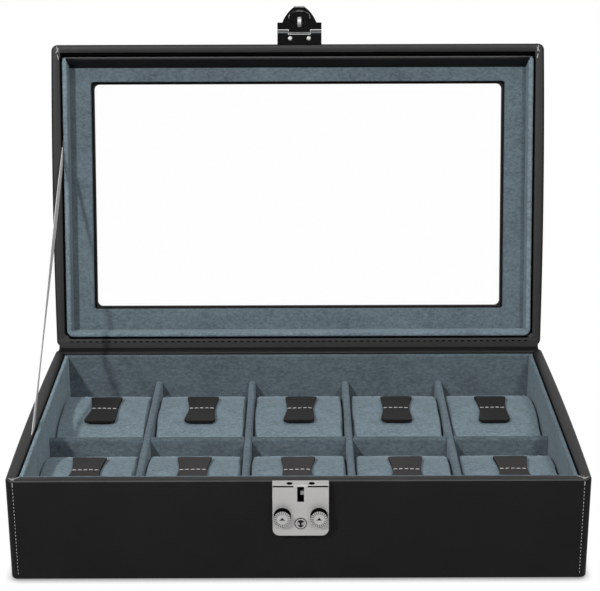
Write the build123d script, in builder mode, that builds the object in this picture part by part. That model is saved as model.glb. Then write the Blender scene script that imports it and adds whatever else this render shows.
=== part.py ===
from build123d import *
import os
from math import cos, radians, sin

# A watch box: a leather-covered case with ten lift-out cushions, a glazed lid on a leather
# hinge with a ribbon stay, and a hasp that a sliding double-knob lock holds.
# Millimetres, Z up, X along the front, Y from front to back. The origin is at the centre
# of the underside. The lid is modelled open.

# Overall sizes
BOX_WIDTH = 330.0
BOX_DEPTH = 204.0
BASE_HEIGHT = 63.0
LID_HEIGHT = 22.0
LID_GAP = 0.8
OPEN_ANGLE = 103.1
HINGE_BACK = 1.0

# Case walls, from outside to inside
LEATHER = 1.2
BOARD = 4.0
TURN_IN = 0.8
TURN_IN_DEPTH = 14.0
LINER_GAP = 0.6
CORNER_RADIUS = 4.0
EDGE_RADIUS = 1.6
INNER_EDGE_RADIUS = 0.5
RIM_CORNER = 0.8

# Floor of the case, from below
FELT = 0.8
FELT_INSET = 3.0
UNDERLAP = 18.0
FLOOR_BOARD = 4.0
FLOOR_PAD = 1.0

# Suede-covered lining and dividers
LINER = 2.6
LINER_DROP = 1.0
LIP_RADIUS = 1.1
DIVIDER = 4.5
DIVIDER_DROP = 19.6
DIVIDER_RADIUS = 1.9
FIT = 0.15
BAYS = 5

# Cushions and their leather pull tabs
CUSHION_SIDE_GAP = 1.51
CUSHION_END_GAP = 1.775
CUSHION_SIDE = 26.9
CUSHION_CROWN = 3.0
CUSHION_EDGE = 4.5
CUSHION_HOLLOW = 0.7
CUSHION_CHAMFER = 2.4
SOFT_CLEAR = 0.3
TAB_LENGTH = 45.0
TAB_WIDTH = 20.4
TAB_WAIST = 16.2
TAB_THICKNESS = 1.8
TAB_SETBACK = 2.0
TAB_NOSE = 3.0

# Underside of a tab: distance from the rear end of its cushion and drop below the crown
TAB_PATH = (
    (TAB_SETBACK, 3.6),
    (4.0, 2.1),
    (8.0, 0.6),
    (13.0, -0.3),
    (20.0, -0.65),
    (TAB_SETBACK + TAB_LENGTH, -0.65),
)

# Shape of a cushion near its ends: distance from the end, inset of each side, drop of the
# top edge, share of the crown that is left and lift of the bottom edge
CUSHION_ENDS = (
    (0.0, 3.6, 7.0, 0.35, 2.6),
    (1.6, 1.1, 3.0, 0.5, 0.9),
    (6.5, 0.0, 0.6, 0.75, 0.1),
)

# Lid, as depths from its rim
LID_LINER = 3.6
LID_LINER_RADIUS = 5.0
FRAME_PANEL = 2.4
GLASS = 1.8
GLASS_LIP = 10.0
WINDOW_BORDER = 26.0
WINDOW_RADIUS = 3.5
WINDOW_EDGE = 1.6
TOP_BOARD = 2.8
WINDOW_UNDERLAP = 5.0
WINDOW_FOLD = 0.6
GLUE_LINE = 0.1

# Leather hinge along the rear edge
HINGE_INNER = 0.4
HINGE_OUTER = 1.0
HINGE_LEG = 12.0
HINGE_INNER_LEG = 5.6

# Ribbon stay on the left side
RIBBON_WIDTH = 7.0
RIBBON = 0.35
RIBBON_BASE = 136.0
RIBBON_LID = 131.0
RIBBON_TUCK = 12.0

# Lock on the front face, as depths below its ledge
LOCK_X = 1.2
CASE_WIDTH = 31.6
CASE_HEIGHT = 31.2
CASE_DEPTH = 6.6
CASE_WALL = 1.2
CASE_CORNER = 4.0
SLOT_SIDE = 0.7
SLOT_TOP = 0.8
SLOT_RUN = 1.75
CREASE_TOP = 0.35
CREASE_BOTTOM = 1.05
CREASE_DEPTH = 0.3
CREASE_START = 4.0
CREASE_MARGIN = 0.6
CASE_EDGE_RADIUS = 0.3
STUD_SPACING = 12.4
STUD_RADIUS = 1.5
STUD_LENGTH = 2.8
STUD_REACH = 3.8
STUD_SHANK = 0.8
STUD_CLEAR = 0.25
KNOB_EDGE = 5.5
KNOB_DEPTH = 18.4
KNOB_RADIUS = 4.8
KNOB_HEIGHT = 5.6
KNOB_RIM = 4.4
KNOB_SHOULDER = 0.72
KNOB_FLUTES = 30
KNOB_FLUTE_RADIUS = 0.22
STEM_RADIUS = 1.5
TAIL_RADIUS = 1.2
KNOB_LIFT = 0.15
SLIDE_TRAVEL = 2.2
SLIDER = 1.4
SLIDER_BAR_CLEAR = 0.2
SLIDER_BAR_HEIGHT = 3.2
ARM_LEFT = 3.0
ARM_RIGHT = 6.5
TOOTH = 2.4
TOOTH_TIP = 0.1
SPRING_DEPTH = 12.0
SPRING_RADIUS = 1.45
SPRING_WIRE = 0.45
LUG_HEIGHT = 3.0
LUG = 1.2
LUG_REACH = 2.8
KEY_DEPTH = 23.4
SLEEVE_RADIUS = 3.25
SLEEVE_PROUD = 0.4
PLUG_RADIUS = 2.3
PLUG_REAR = 4.8
CAM_LENGTH = 4.7
CAM_HALF_WIDTH = 0.8
NOTCH_ROOF = 0.4
KEY_SLOT_WIDTH = 0.9
KEY_SLOT_LENGTH = 3.0
KEY_SLOT_DEPTH = 2.0
KEY_EYE = 0.8
RUNNING = 0.05
SLIDE_CLEAR = 0.1
SCREW_RADIUS = 1.0
SCREW_CLEAR = 0.15
HEAD_RADIUS = 2.2
HEAD_HEIGHT = 1.2
BOSS_RADIUS = 2.0
SCREW_BITE = 3.6
SCREW_SIDE = 5.3
SCREW_FOOT = 4.0
SCREW_HIGH = 8.0

# Hasp on the front edge of the lid
HASP_WIDTH = 29.5
HASP_PLATE = 1.2
HASP_CLEAR = 0.2
LEAF_HEIGHT = 13.0
PEG_RADIUS = 1.0
PEG_LENGTH = 4.0
PEG_SPACING = 18.0
PEG_HEIGHT = 8.0
KNUCKLE_RADIUS = 1.3
KNUCKLE_GAP = 0.3
MIDDLE_KNUCKLE = 14.4
PIN_RADIUS = 0.7
TONGUE_LENGTH = 16.4
TONGUE_SHOULDER = 6.2
DOME_WIDTH = 22.8
DOME_MID_WIDTH = 17.2
DOME_MID = 11.4
TIP_WIDTH = 7.2
TIP_PROUD = 0.1
DISH_WIDTH = 15.0
DISH_LENGTH = 9.4
DISH_CENTRE = 9.6
DISH_DEPTH = 0.9
BOSS_RISE = 1.3
STAPLE_WIDTH = 2.4
STAPLE_WIRE = 1.5
STAPLE_NEAR = 3.35
STAPLE_FAR = 9.65
STAPLE_REACH = 5.0

# Sizes worked out from the ones above
RIM = LEATHER + BOARD + TURN_IN
LINING = RIM + LINER_GAP + LINER
INNER_WIDTH = BOX_WIDTH - 2 * LINING
INNER_DEPTH = BOX_DEPTH - 2 * LINING
FLOOR_UNDER = FELT + TURN_IN
WALL_FOOT = FLOOR_UNDER + FLOOR_BOARD
FLOOR_TOP = WALL_FOOT + FLOOR_PAD
BAY_WIDTH = (INNER_WIDTH - (BAYS - 1) * DIVIDER) / BAYS
BAY_LENGTH = (INNER_DEPTH - DIVIDER) / 2
BAY_PITCH = BAY_WIDTH + DIVIDER
BAY_XS = [(index - (BAYS - 1) / 2) * BAY_PITCH for index in range(BAYS)]
ROW_YS = {"rear": (BAY_LENGTH + DIVIDER) / 2, "front": -(BAY_LENGTH + DIVIDER) / 2}
DIVIDER_TOP = BASE_HEIGHT - DIVIDER_DROP
DIVIDER_MID = (FLOOR_TOP + DIVIDER_TOP) / 2
CUSHION_FOOT = FLOOR_TOP + SOFT_CLEAR
CUSHION_WIDTH = BAY_WIDTH - 2 * CUSHION_SIDE_GAP
CUSHION_LENGTH = BAY_LENGTH - 2 * CUSHION_END_GAP

# The front plane faces forward, with Z as its upward direction
FRONT = Plane.XZ.offset(BOX_DEPTH / 2)
CASE_FACE = FRONT.offset(CASE_DEPTH)
SLIDER_FACE = FRONT.offset(CASE_DEPTH - CASE_WALL - SLIDE_CLEAR)

# The lid plane holds the hinge line, with Y towards the hinge and Z out of the lid
HINGE_Y = BOX_DEPTH / 2 + HINGE_BACK
HINGE_Z = BASE_HEIGHT + LID_GAP / 2
SWING = radians(OPEN_ANGLE)
LID_PLANE = Plane(origin=(0, HINGE_Y, HINGE_Z), x_dir=(1, 0, 0), z_dir=(0, sin(SWING), cos(SWING)))
LID_RIM = LID_PLANE.offset(LID_GAP / 2)
LID_MIDDLE = -(HINGE_BACK + BOX_DEPTH / 2)
LID_FRONT = -(HINGE_BACK + BOX_DEPTH)
PANEL_DEPTH = LID_HEIGHT - LEATHER - TOP_BOARD
FRAME_DEPTH = PANEL_DEPTH - WINDOW_FOLD - 2 * GLUE_LINE - GLASS - FRAME_PANEL
WINDOW_WIDTH = BOX_WIDTH - 2 * WINDOW_BORDER
WINDOW_LENGTH = BOX_DEPTH - 2 * WINDOW_BORDER
HINGE_LENGTH = BOX_WIDTH - 2 * CORNER_RADIUS
HASP_REACH = CASE_DEPTH + KNUCKLE_RADIUS + HASP_CLEAR
HASP_AXIS_Y = LID_FRONT - HASP_REACH
HASP_AXIS_Z = LID_GAP / 2 + HASP_PLATE / 2
TIP_LIP = HASP_PLATE / 2 + TIP_PROUD

# The tooth of the lock meets the middle of the staple, below the hinge line of the hasp
CLOSED_AXIS = LID_GAP + HASP_PLATE / 2
STAPLE_MID = (STAPLE_NEAR + STAPLE_FAR) / 2
TOOTH_TOP = STAPLE_MID - CLOSED_AXIS - TOOTH / 2
TOOTH_BOTTOM = STAPLE_MID - CLOSED_AXIS + TOOTH / 2
SLOT_WIDTH = STAPLE_WIDTH + 2 * SLOT_SIDE
SLOT_BOTTOM = STAPLE_FAR - CLOSED_AXIS + SLOT_RUN
KNOB_SPACING = CASE_WIDTH - 2 * KNOB_EDGE
SLIDER_BAR_WIDTH = CASE_WIDTH - 2 * (CASE_WALL + SLIDE_TRAVEL + SLIDER_BAR_CLEAR)
SLIDER_EYE = KNOB_EDGE - SLIDE_TRAVEL - CASE_WALL - SLIDE_CLEAR
CREASE_END = CASE_WIDTH / 2 - CREASE_MARGIN
SCREW_X = CASE_WIDTH / 2 - SCREW_SIDE
SCREW_LOW = CASE_HEIGHT - SCREW_FOOT
SCREW_SPOTS = ((-SCREW_X, -SCREW_LOW), (SCREW_X, -SCREW_LOW), (-SCREW_X, -SCREW_HIGH))


def save(part, name):
    """Label one finished piece and write its file."""
    part.label = name
    export_step(part, f"parts/{name}.step")


def outline(width, length, radius, mode=Mode.ADD):
    """Draw a rectangle, rounded where it has a radius."""
    if radius > 0:
        RectangleRounded(width, length, radius, mode=mode)
    else:
        Rectangle(width, length, mode=mode)


def ring(plane, centre_y, width, length, wall, height, radius=0.0, inner_radius=0.0):
    """Raise a closed wall inside a rectangle of this width and length."""
    with BuildSketch(plane) as profile:
        with Locations((0, centre_y)):
            outline(width, length, radius)
            outline(width - 2 * wall, length - 2 * wall, inner_radius, Mode.SUBTRACT)
    extrude(profile.sketch, amount=height)


def slab(plane, width, length, height, centre=(0, 0), radius=0.0):
    """Raise a flat plate of this width and length."""
    with BuildSketch(plane) as profile:
        with Locations(centre):
            outline(width, length, radius)
    extrude(profile.sketch, amount=height)


def slab_between(low, high):
    """Fill the box between two opposite corners."""
    with BuildSketch(Plane.XY.offset(low[2])) as profile:
        with Locations(((low[0] + high[0]) / 2, (low[1] + high[1]) / 2)):
            Rectangle(high[0] - low[0], high[1] - low[1])
    extrude(profile.sketch, amount=high[2] - low[2])


def lock_hole(plane, spots, radius, depth):
    """Sink round holes at spots on the front face, given from the ledge of the lock."""
    with BuildSketch(plane) as profile:
        with Locations([(LOCK_X + x, BASE_HEIGHT + z) for x, z in spots]):
            Circle(radius)
    extrude(profile.sketch, amount=depth, mode=Mode.SUBTRACT)


os.makedirs("parts", exist_ok=True)

# Felt under the base
with BuildPart() as base_felt:
    slab(Plane.XY, BOX_WIDTH - 2 * FELT_INSET, BOX_DEPTH - 2 * FELT_INSET, FELT,
         radius=CORNER_RADIUS)
save(base_felt.part, "base_felt")

# Floor board, inside the leather
SHELL_WIDTH = BOX_WIDTH - 2 * LEATHER
SHELL_DEPTH = BOX_DEPTH - 2 * LEATHER
BOARD_RADIUS = CORNER_RADIUS - LEATHER
with BuildPart() as base_floor_board:
    slab(Plane.XY.offset(FLOOR_UNDER), SHELL_WIDTH, SHELL_DEPTH, FLOOR_BOARD, radius=BOARD_RADIUS)
save(base_floor_board.part, "base_floor_board")

# Four wall boards, the long ones running past the ends of the short ones
WALL_TOP = BASE_HEIGHT - LEATHER
BOARD_BACK = Plane.XZ.offset(SHELL_DEPTH / 2 - BOARD)
for side, name in ((-1, "base_front_board"), (1, "base_rear_board")):
    outer = side * SHELL_DEPTH / 2
    inner = side * (SHELL_DEPTH / 2 - BOARD)
    with BuildPart() as wall_board:
        slab_between((-SHELL_WIDTH / 2, min(outer, inner), WALL_FOOT),
                     (SHELL_WIDTH / 2, max(outer, inner), WALL_TOP))
        fillet(wall_board.edges().filter_by(Axis.Z).group_by(Axis.Y)[-1 if side > 0 else 0],
               radius=BOARD_RADIUS)
        if side < 0:
            lock_hole(BOARD_BACK, SCREW_SPOTS, SCREW_RADIUS + SCREW_CLEAR, BOARD)
            lock_hole(BOARD_BACK, SCREW_SPOTS, HEAD_RADIUS + SCREW_CLEAR, HEAD_HEIGHT)
    save(wall_board.part, name)
for side, name in ((-1, "base_left_board"), (1, "base_right_board")):
    outer = side * SHELL_WIDTH / 2
    inner = side * (SHELL_WIDTH / 2 - BOARD)
    half_length = SHELL_DEPTH / 2 - BOARD
    with BuildPart() as wall_board:
        slab_between((min(outer, inner), -half_length, WALL_FOOT),
                     (max(outer, inner), half_length, WALL_TOP))
    save(wall_board.part, name)

# Leather cover of the base: outer wall, rim, turned-in edge and underlap
with BuildPart() as base_leather:
    ring(Plane.XY.offset(FELT), 0, BOX_WIDTH, BOX_DEPTH, LEATHER, BASE_HEIGHT - FELT,
         CORNER_RADIUS, BOARD_RADIUS)
    ring(Plane.XY.offset(WALL_TOP), 0, BOX_WIDTH, BOX_DEPTH, RIM, LEATHER, CORNER_RADIUS,
         RIM_CORNER)
    ring(Plane.XY.offset(BASE_HEIGHT - TURN_IN_DEPTH), 0, SHELL_WIDTH - 2 * BOARD,
         SHELL_DEPTH - 2 * BOARD, TURN_IN, TURN_IN_DEPTH, 0, RIM_CORNER)
    ring(Plane.XY.offset(FELT), 0, BOX_WIDTH, BOX_DEPTH, UNDERLAP, TURN_IN, CORNER_RADIUS)
    rim_face = base_leather.faces().sort_by(Axis.Z)[-1]
    fillet(rim_face.outer_wire().edges(), radius=EDGE_RADIUS)
    rim_face = base_leather.faces().sort_by(Axis.Z)[-1]
    fillet(rim_face.inner_wires()[0].edges(), radius=INNER_EDGE_RADIUS)
    lock_hole(FRONT.offset(-LEATHER), SCREW_SPOTS, SCREW_RADIUS + SCREW_CLEAR, LEATHER)
save(base_leather.part, "base_leather")

# Lining panels, standing on the floor board
LINER_TOP = BASE_HEIGHT - LINER_DROP
LINER_OUTER_X = INNER_WIDTH / 2 + LINER
LINER_OUTER_Y = INNER_DEPTH / 2 + LINER
for side, name in ((-1, "liner_front"), (1, "liner_rear")):
    edge_a = side * INNER_DEPTH / 2
    edge_b = side * LINER_OUTER_Y
    with BuildPart() as liner:
        slab_between((-LINER_OUTER_X, min(edge_a, edge_b), WALL_FOOT),
                     (LINER_OUTER_X, max(edge_a, edge_b), LINER_TOP))
        fillet(liner.edges().group_by(Axis.Z)[-1].filter_by(Axis.X), radius=LIP_RADIUS)
    save(liner.part, name)
for side, name in ((-1, "liner_left"), (1, "liner_right")):
    edge_a = side * INNER_WIDTH / 2
    edge_b = side * LINER_OUTER_X
    with BuildPart() as liner:
        slab_between((min(edge_a, edge_b), -INNER_DEPTH / 2, WALL_FOOT),
                     (max(edge_a, edge_b), INNER_DEPTH / 2, LINER_TOP))
        fillet(liner.edges().group_by(Axis.Z)[-1].filter_by(Axis.Y), radius=LIP_RADIUS)
    save(liner.part, name)

# Suede-covered card on the floor of the compartments
with BuildPart() as floor_pad:
    slab(Plane.XY.offset(WALL_FOOT), INNER_WIDTH - 2 * FIT, INNER_DEPTH - 2 * FIT, FLOOR_PAD)
save(floor_pad.part, "floor_pad")

# Divider between the two rows, slotted from above for the dividers that cross it
CROSSINGS = [(left + right) / 2 for left, right in zip(BAY_XS, BAY_XS[1:])]
with BuildPart() as cross_divider:
    slab(Plane.XY.offset(FLOOR_TOP), INNER_WIDTH - 2 * FIT, DIVIDER, DIVIDER_TOP - FLOOR_TOP)
    fillet(cross_divider.edges().group_by(Axis.Z)[-1].filter_by(Axis.X), radius=DIVIDER_RADIUS)
    with BuildSketch(Plane.XY.offset(DIVIDER_MID)):
        with Locations([(x, 0) for x in CROSSINGS]):
            Rectangle(DIVIDER + 2 * FIT, DIVIDER + 2 * FIT)
    extrude(amount=DIVIDER_TOP - DIVIDER_MID, mode=Mode.SUBTRACT)
save(cross_divider.part, "cross_divider")

# Four dividers from front to back, slotted from below
for index, x in enumerate(CROSSINGS, start=1):
    with BuildPart() as bay_divider:
        slab(Plane.XY.offset(FLOOR_TOP), DIVIDER, INNER_DEPTH - 2 * FIT,
             DIVIDER_TOP - FLOOR_TOP, centre=(x, 0))
        fillet(bay_divider.edges().group_by(Axis.Z)[-1].filter_by(Axis.Y), radius=DIVIDER_RADIUS)
        with BuildSketch(Plane.XY.offset(FLOOR_TOP)):
            with Locations((x, 0)):
                Rectangle(DIVIDER + 2 * FIT, DIVIDER + 2 * FIT)
        extrude(amount=DIVIDER_MID + FIT - FLOOR_TOP, mode=Mode.SUBTRACT)
    save(bay_divider.part, f"bay_divider_{index}")

# Each cushion is lofted from back to front through sections given by their distance from the
# middle, half width, height of the side, extra height of the crown and height of the bottom
HALF_LENGTH = CUSHION_LENGTH / 2
HALF_WIDTH = CUSHION_WIDTH / 2
END_SECTIONS = [(HALF_LENGTH - back, HALF_WIDTH - inset, CUSHION_SIDE - drop,
                 share * CUSHION_CROWN, lift) for back, inset, drop, share, lift in CUSHION_ENDS]
MIDDLE_SECTION = (0.0, HALF_WIDTH - CUSHION_HOLLOW, CUSHION_SIDE, CUSHION_CROWN, 0.0)
# Share of a radius between a square corner and the middle of its rounding
ARC_INSET = 1 - cos(radians(45))


def cushion_section(plane, half_width, side, crown, foot):
    """Draw one cross-section of a cushion, with a crowned top and rounded edges."""
    top = side - CUSHION_EDGE
    inset = ARC_INSET * CUSHION_EDGE
    with BuildSketch(plane) as profile:
        with BuildLine():
            Line((-half_width + CUSHION_CHAMFER, foot), (half_width - CUSHION_CHAMFER, foot))
            Line((half_width - CUSHION_CHAMFER, foot), (half_width, foot + CUSHION_CHAMFER))
            Line((half_width, foot + CUSHION_CHAMFER), (half_width, top))
            ThreePointArc((half_width, top), (half_width - inset, side - inset),
                          (half_width - CUSHION_EDGE, side))
            ThreePointArc((half_width - CUSHION_EDGE, side), (0, side + crown),
                          (-half_width + CUSHION_EDGE, side))
            ThreePointArc((-half_width + CUSHION_EDGE, side), (-half_width + inset, side - inset),
                          (-half_width, top))
            Line((-half_width, top), (-half_width, foot + CUSHION_CHAMFER))
            Line((-half_width, foot + CUSHION_CHAMFER), (-half_width + CUSHION_CHAMFER, foot))
        make_face()
    return profile.sketch


def cushion_form(x, y):
    """Loft one cushion over the centre of a compartment."""
    front_ends = [(-station, *sizes) for station, *sizes in END_SECTIONS]
    sections = []
    for station, *sizes in [*front_ends, MIDDLE_SECTION, *reversed(END_SECTIONS)]:
        plane = Plane(origin=(x, y + station, CUSHION_FOOT), x_dir=(1, 0, 0), z_dir=(0, -1, 0))
        sections.append(cushion_section(plane, *sizes))
    loft(sections)


def tab_outline(x, rear):
    """Draw the waisted leather tab, from the rear edge of its cushion forwards."""
    waist = rear - TAB_LENGTH / 2
    front = rear - TAB_LENGTH
    half = TAB_WIDTH / 2
    with BuildLine() as edge:
        ThreePointArc((x + half, rear), (x + TAB_WAIST / 2, waist), (x + half, front + TAB_NOSE))
        ThreePointArc((x + half, front + TAB_NOSE), (x, front), (x - half, front + TAB_NOSE))
        ThreePointArc((x - half, front + TAB_NOSE), (x - TAB_WAIST / 2, waist), (x - half, rear))
        Line((x - half, rear), (x + half, rear))
    make_face(edge.edges())


# Ten cushions, each with a tab sewn on its top
CROWN_Z = CUSHION_FOOT + CUSHION_SIDE + CUSHION_CROWN
for row, y in ROW_YS.items():
    rear_end = y + HALF_LENGTH
    tab_under = [(rear_end - back, CROWN_Z - drop) for back, drop in TAB_PATH]
    tab_over = [(back, height + TAB_THICKNESS) for back, height in reversed(tab_under)]
    for column, x in enumerate(BAY_XS, start=1):
        with BuildPart() as cushion:
            cushion_form(x, y)
        save(cushion.part, f"cushion_{row}_{column}")
        with BuildPart() as tab:
            with BuildSketch(Plane.YZ.offset(x)):
                with BuildLine():
                    Polyline(*tab_under, *tab_over, close=True)
                make_face()
            extrude(amount=TAB_WIDTH, both=True)
            with BuildSketch(Plane.XY.offset(CUSHION_FOOT)):
                tab_outline(x, rear_end - TAB_SETBACK)
            extrude(amount=BASE_HEIGHT, mode=Mode.INTERSECT)
        save(tab.part, f"tab_{row}_{column}")

# Lid walls, from the leather of the rim out to the top panel
LID_INNER_RADIUS = LID_LINER_RADIUS + LINER_GAP
PEG_SPOTS = [(side * PEG_SPACING / 2 + LOCK_X, PEG_HEIGHT) for side in (-1, 1)]
# The hasp plane lies on the outer front face of the lid, with Y out of the lid and Z forwards
HASP_FACE = Plane(origin=LID_PLANE.from_local_coords(Vector(0, LID_FRONT, LID_GAP / 2)),
                  x_dir=(1, 0, 0), z_dir=-LID_PLANE.y_dir)


def peg_holes(depth):
    """Drill the holes for the two pegs of the hasp through the front of the lid."""
    with BuildSketch(HASP_FACE) as profile:
        with Locations(PEG_SPOTS):
            Circle(PEG_RADIUS + RUNNING)
    extrude(profile.sketch, amount=-depth, mode=Mode.SUBTRACT)


with BuildPart() as lid_walls:
    ring(LID_RIM.offset(LEATHER), LID_MIDDLE, SHELL_WIDTH, SHELL_DEPTH, BOARD,
         PANEL_DEPTH - LEATHER, BOARD_RADIUS, LID_INNER_RADIUS + TURN_IN)
    peg_holes(LEATHER + BOARD)
save(lid_walls.part, "lid_walls")

# Top panel with the window cut through it
with BuildPart() as lid_top_panel:
    with BuildSketch(LID_RIM.offset(PANEL_DEPTH)):
        with Locations((0, LID_MIDDLE)):
            outline(SHELL_WIDTH, SHELL_DEPTH, BOARD_RADIUS)
            outline(WINDOW_WIDTH + 2 * TURN_IN, WINDOW_LENGTH + 2 * TURN_IN,
                    WINDOW_RADIUS + TURN_IN, Mode.SUBTRACT)
    extrude(amount=TOP_BOARD)
save(lid_top_panel.part, "lid_top_panel")


def window_ring(depth, border, height):
    """Raise a flat frame around the window, of this border width, at a depth in the lid."""
    with BuildSketch(LID_RIM.offset(depth)) as profile:
        with Locations((0, LID_MIDDLE)):
            outline(WINDOW_WIDTH + 2 * border, WINDOW_LENGTH + 2 * border, WINDOW_RADIUS + border)
            outline(WINDOW_WIDTH, WINDOW_LENGTH, WINDOW_RADIUS, Mode.SUBTRACT)
    extrude(profile.sketch, amount=height)


# Leather cover of the lid: outer wall, rim, turned-in edge, top skin and window edge
with BuildPart() as lid_leather:
    ring(LID_RIM, LID_MIDDLE, BOX_WIDTH, BOX_DEPTH, LEATHER, LID_HEIGHT, CORNER_RADIUS,
         BOARD_RADIUS)
    ring(LID_RIM, LID_MIDDLE, BOX_WIDTH, BOX_DEPTH, RIM, LEATHER, CORNER_RADIUS, LID_INNER_RADIUS)
    ring(LID_RIM, LID_MIDDLE, SHELL_WIDTH - 2 * BOARD, SHELL_DEPTH - 2 * BOARD, TURN_IN,
         FRAME_DEPTH - GLUE_LINE, LID_INNER_RADIUS + TURN_IN, LID_INNER_RADIUS)
    with BuildSketch(LID_RIM.offset(LID_HEIGHT - LEATHER)):
        with Locations((0, LID_MIDDLE)):
            outline(BOX_WIDTH, BOX_DEPTH, CORNER_RADIUS)
            outline(WINDOW_WIDTH, WINDOW_LENGTH, WINDOW_RADIUS, Mode.SUBTRACT)
    extrude(amount=LEATHER)
    window_ring(PANEL_DEPTH - WINDOW_FOLD, TURN_IN, LID_HEIGHT - PANEL_DEPTH + WINDOW_FOLD)
    window_ring(PANEL_DEPTH - WINDOW_FOLD, WINDOW_UNDERLAP, WINDOW_FOLD)
    lid_out = Axis(origin=LID_PLANE.origin, direction=LID_PLANE.z_dir)
    top_face = lid_leather.faces().sort_by(lid_out)[-1]
    fillet(top_face.outer_wire().edges(), radius=EDGE_RADIUS)
    rim_face = lid_leather.faces().sort_by(lid_out)[0]
    fillet(rim_face.outer_wire().edges(), radius=EDGE_RADIUS)
    rim_face = lid_leather.faces().sort_by(lid_out)[0]
    fillet(rim_face.inner_wires()[0].edges(), radius=INNER_EDGE_RADIUS)
    peg_holes(LEATHER)
save(lid_leather.part, "lid_leather")

# Suede lining of the lid walls
LID_LINER_WIDTH = BOX_WIDTH - 2 * (RIM + LINER_GAP)
LID_LINER_LENGTH = BOX_DEPTH - 2 * (RIM + LINER_GAP)
with BuildPart() as lid_liner:
    ring(LID_RIM.offset(LINER_DROP), LID_MIDDLE, LID_LINER_WIDTH, LID_LINER_LENGTH, LID_LINER,
         FRAME_DEPTH - LINER_DROP, LID_LINER_RADIUS, LID_LINER_RADIUS - LID_LINER)
    lip_face = lid_liner.faces().sort_by(lid_out)[0]
    fillet(lip_face.outer_wire().edges(), radius=LIP_RADIUS)
    lip_face = lid_liner.faces().sort_by(lid_out)[0]
    fillet(lip_face.inner_wires()[0].edges(), radius=LIP_RADIUS)
save(lid_liner.part, "lid_liner")

# Suede-covered frame in front of the glass
with BuildPart() as window_frame:
    with BuildSketch(LID_RIM.offset(FRAME_DEPTH)):
        with Locations((0, LID_MIDDLE)):
            outline(LID_LINER_WIDTH, LID_LINER_LENGTH, LID_LINER_RADIUS)
            outline(WINDOW_WIDTH + 2 * WINDOW_EDGE, WINDOW_LENGTH + 2 * WINDOW_EDGE,
                    WINDOW_RADIUS - WINDOW_EDGE, Mode.SUBTRACT)
    extrude(amount=FRAME_PANEL)
save(window_frame.part, "window_frame")

# Window glass, and the card around it that keeps it in place
GLASS_DEPTH = FRAME_DEPTH + FRAME_PANEL + GLUE_LINE
GLASS_WIDTH = WINDOW_WIDTH + 2 * GLASS_LIP
GLASS_LENGTH = WINDOW_LENGTH + 2 * GLASS_LIP
with BuildPart() as window_glass:
    slab(LID_RIM.offset(GLASS_DEPTH), GLASS_WIDTH, GLASS_LENGTH, GLASS, centre=(0, LID_MIDDLE))
save(window_glass.part, "window_glass")

with BuildPart() as glass_surround:
    with BuildSketch(LID_RIM.offset(FRAME_DEPTH + FRAME_PANEL)):
        with Locations((0, LID_MIDDLE)):
            outline(LID_LINER_WIDTH, LID_LINER_LENGTH, LID_LINER_RADIUS)
            outline(GLASS_WIDTH + 2 * FIT, GLASS_LENGTH + 2 * FIT, 0, Mode.SUBTRACT)
    extrude(amount=PANEL_DEPTH - FRAME_DEPTH - FRAME_PANEL)
save(glass_surround.part, "glass_surround")


def lid_point(y, z):
    """Give the place, in the side view, of a point of the open lid."""
    point = LID_PLANE.from_local_coords(Vector(0, y, z))
    return (point.Y, point.Z)


def side_profile(points, length):
    """Extrude an outline of the side view to both sides of the middle."""
    with BuildSketch(Plane.YZ) as profile:
        with BuildLine():
            Polyline(*points, close=True)
        make_face()
    extrude(profile.sketch, amount=length / 2, both=True)


# Inner hinge leather, over the rear rim of the base and up the rim of the lid
RIM_Z = LID_GAP / 2
base_rim_front = BOX_DEPTH / 2 - HINGE_INNER_LEG
with BuildPart() as hinge_leather_inner:
    side_profile([
        (base_rim_front, BASE_HEIGHT),
        (base_rim_front, BASE_HEIGHT + HINGE_INNER),
        (BOX_DEPTH / 2 - HINGE_BACK, BASE_HEIGHT + HINGE_INNER),
        lid_point(-HINGE_BACK - HINGE_INNER, RIM_Z - HINGE_INNER),
        lid_point(-HINGE_BACK - HINGE_INNER_LEG, RIM_Z - HINGE_INNER),
        lid_point(-HINGE_BACK - HINGE_INNER_LEG, RIM_Z),
        lid_point(-HINGE_BACK, RIM_Z),
        (BOX_DEPTH / 2, BASE_HEIGHT),
    ], HINGE_LENGTH)
save(hinge_leather_inner.part, "hinge_leather_inner")

# Outer hinge leather, down the back of the base and along the back of the lid
REAR_Y = BOX_DEPTH / 2
with BuildPart() as hinge_leather_outer:
    side_profile([
        (REAR_Y, BASE_HEIGHT - HINGE_LEG),
        (REAR_Y, BASE_HEIGHT),
        lid_point(-HINGE_BACK, RIM_Z),
        lid_point(-HINGE_BACK, RIM_Z + HINGE_LEG),
        lid_point(-HINGE_BACK + HINGE_OUTER, RIM_Z + HINGE_LEG),
        lid_point(-HINGE_BACK + HINGE_OUTER, RIM_Z),
        (REAR_Y + HINGE_OUTER, BASE_HEIGHT),
        (REAR_Y + HINGE_OUTER, BASE_HEIGHT - HINGE_LEG),
    ], HINGE_LENGTH)
save(hinge_leather_outer.part, "hinge_leather_outer")

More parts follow.
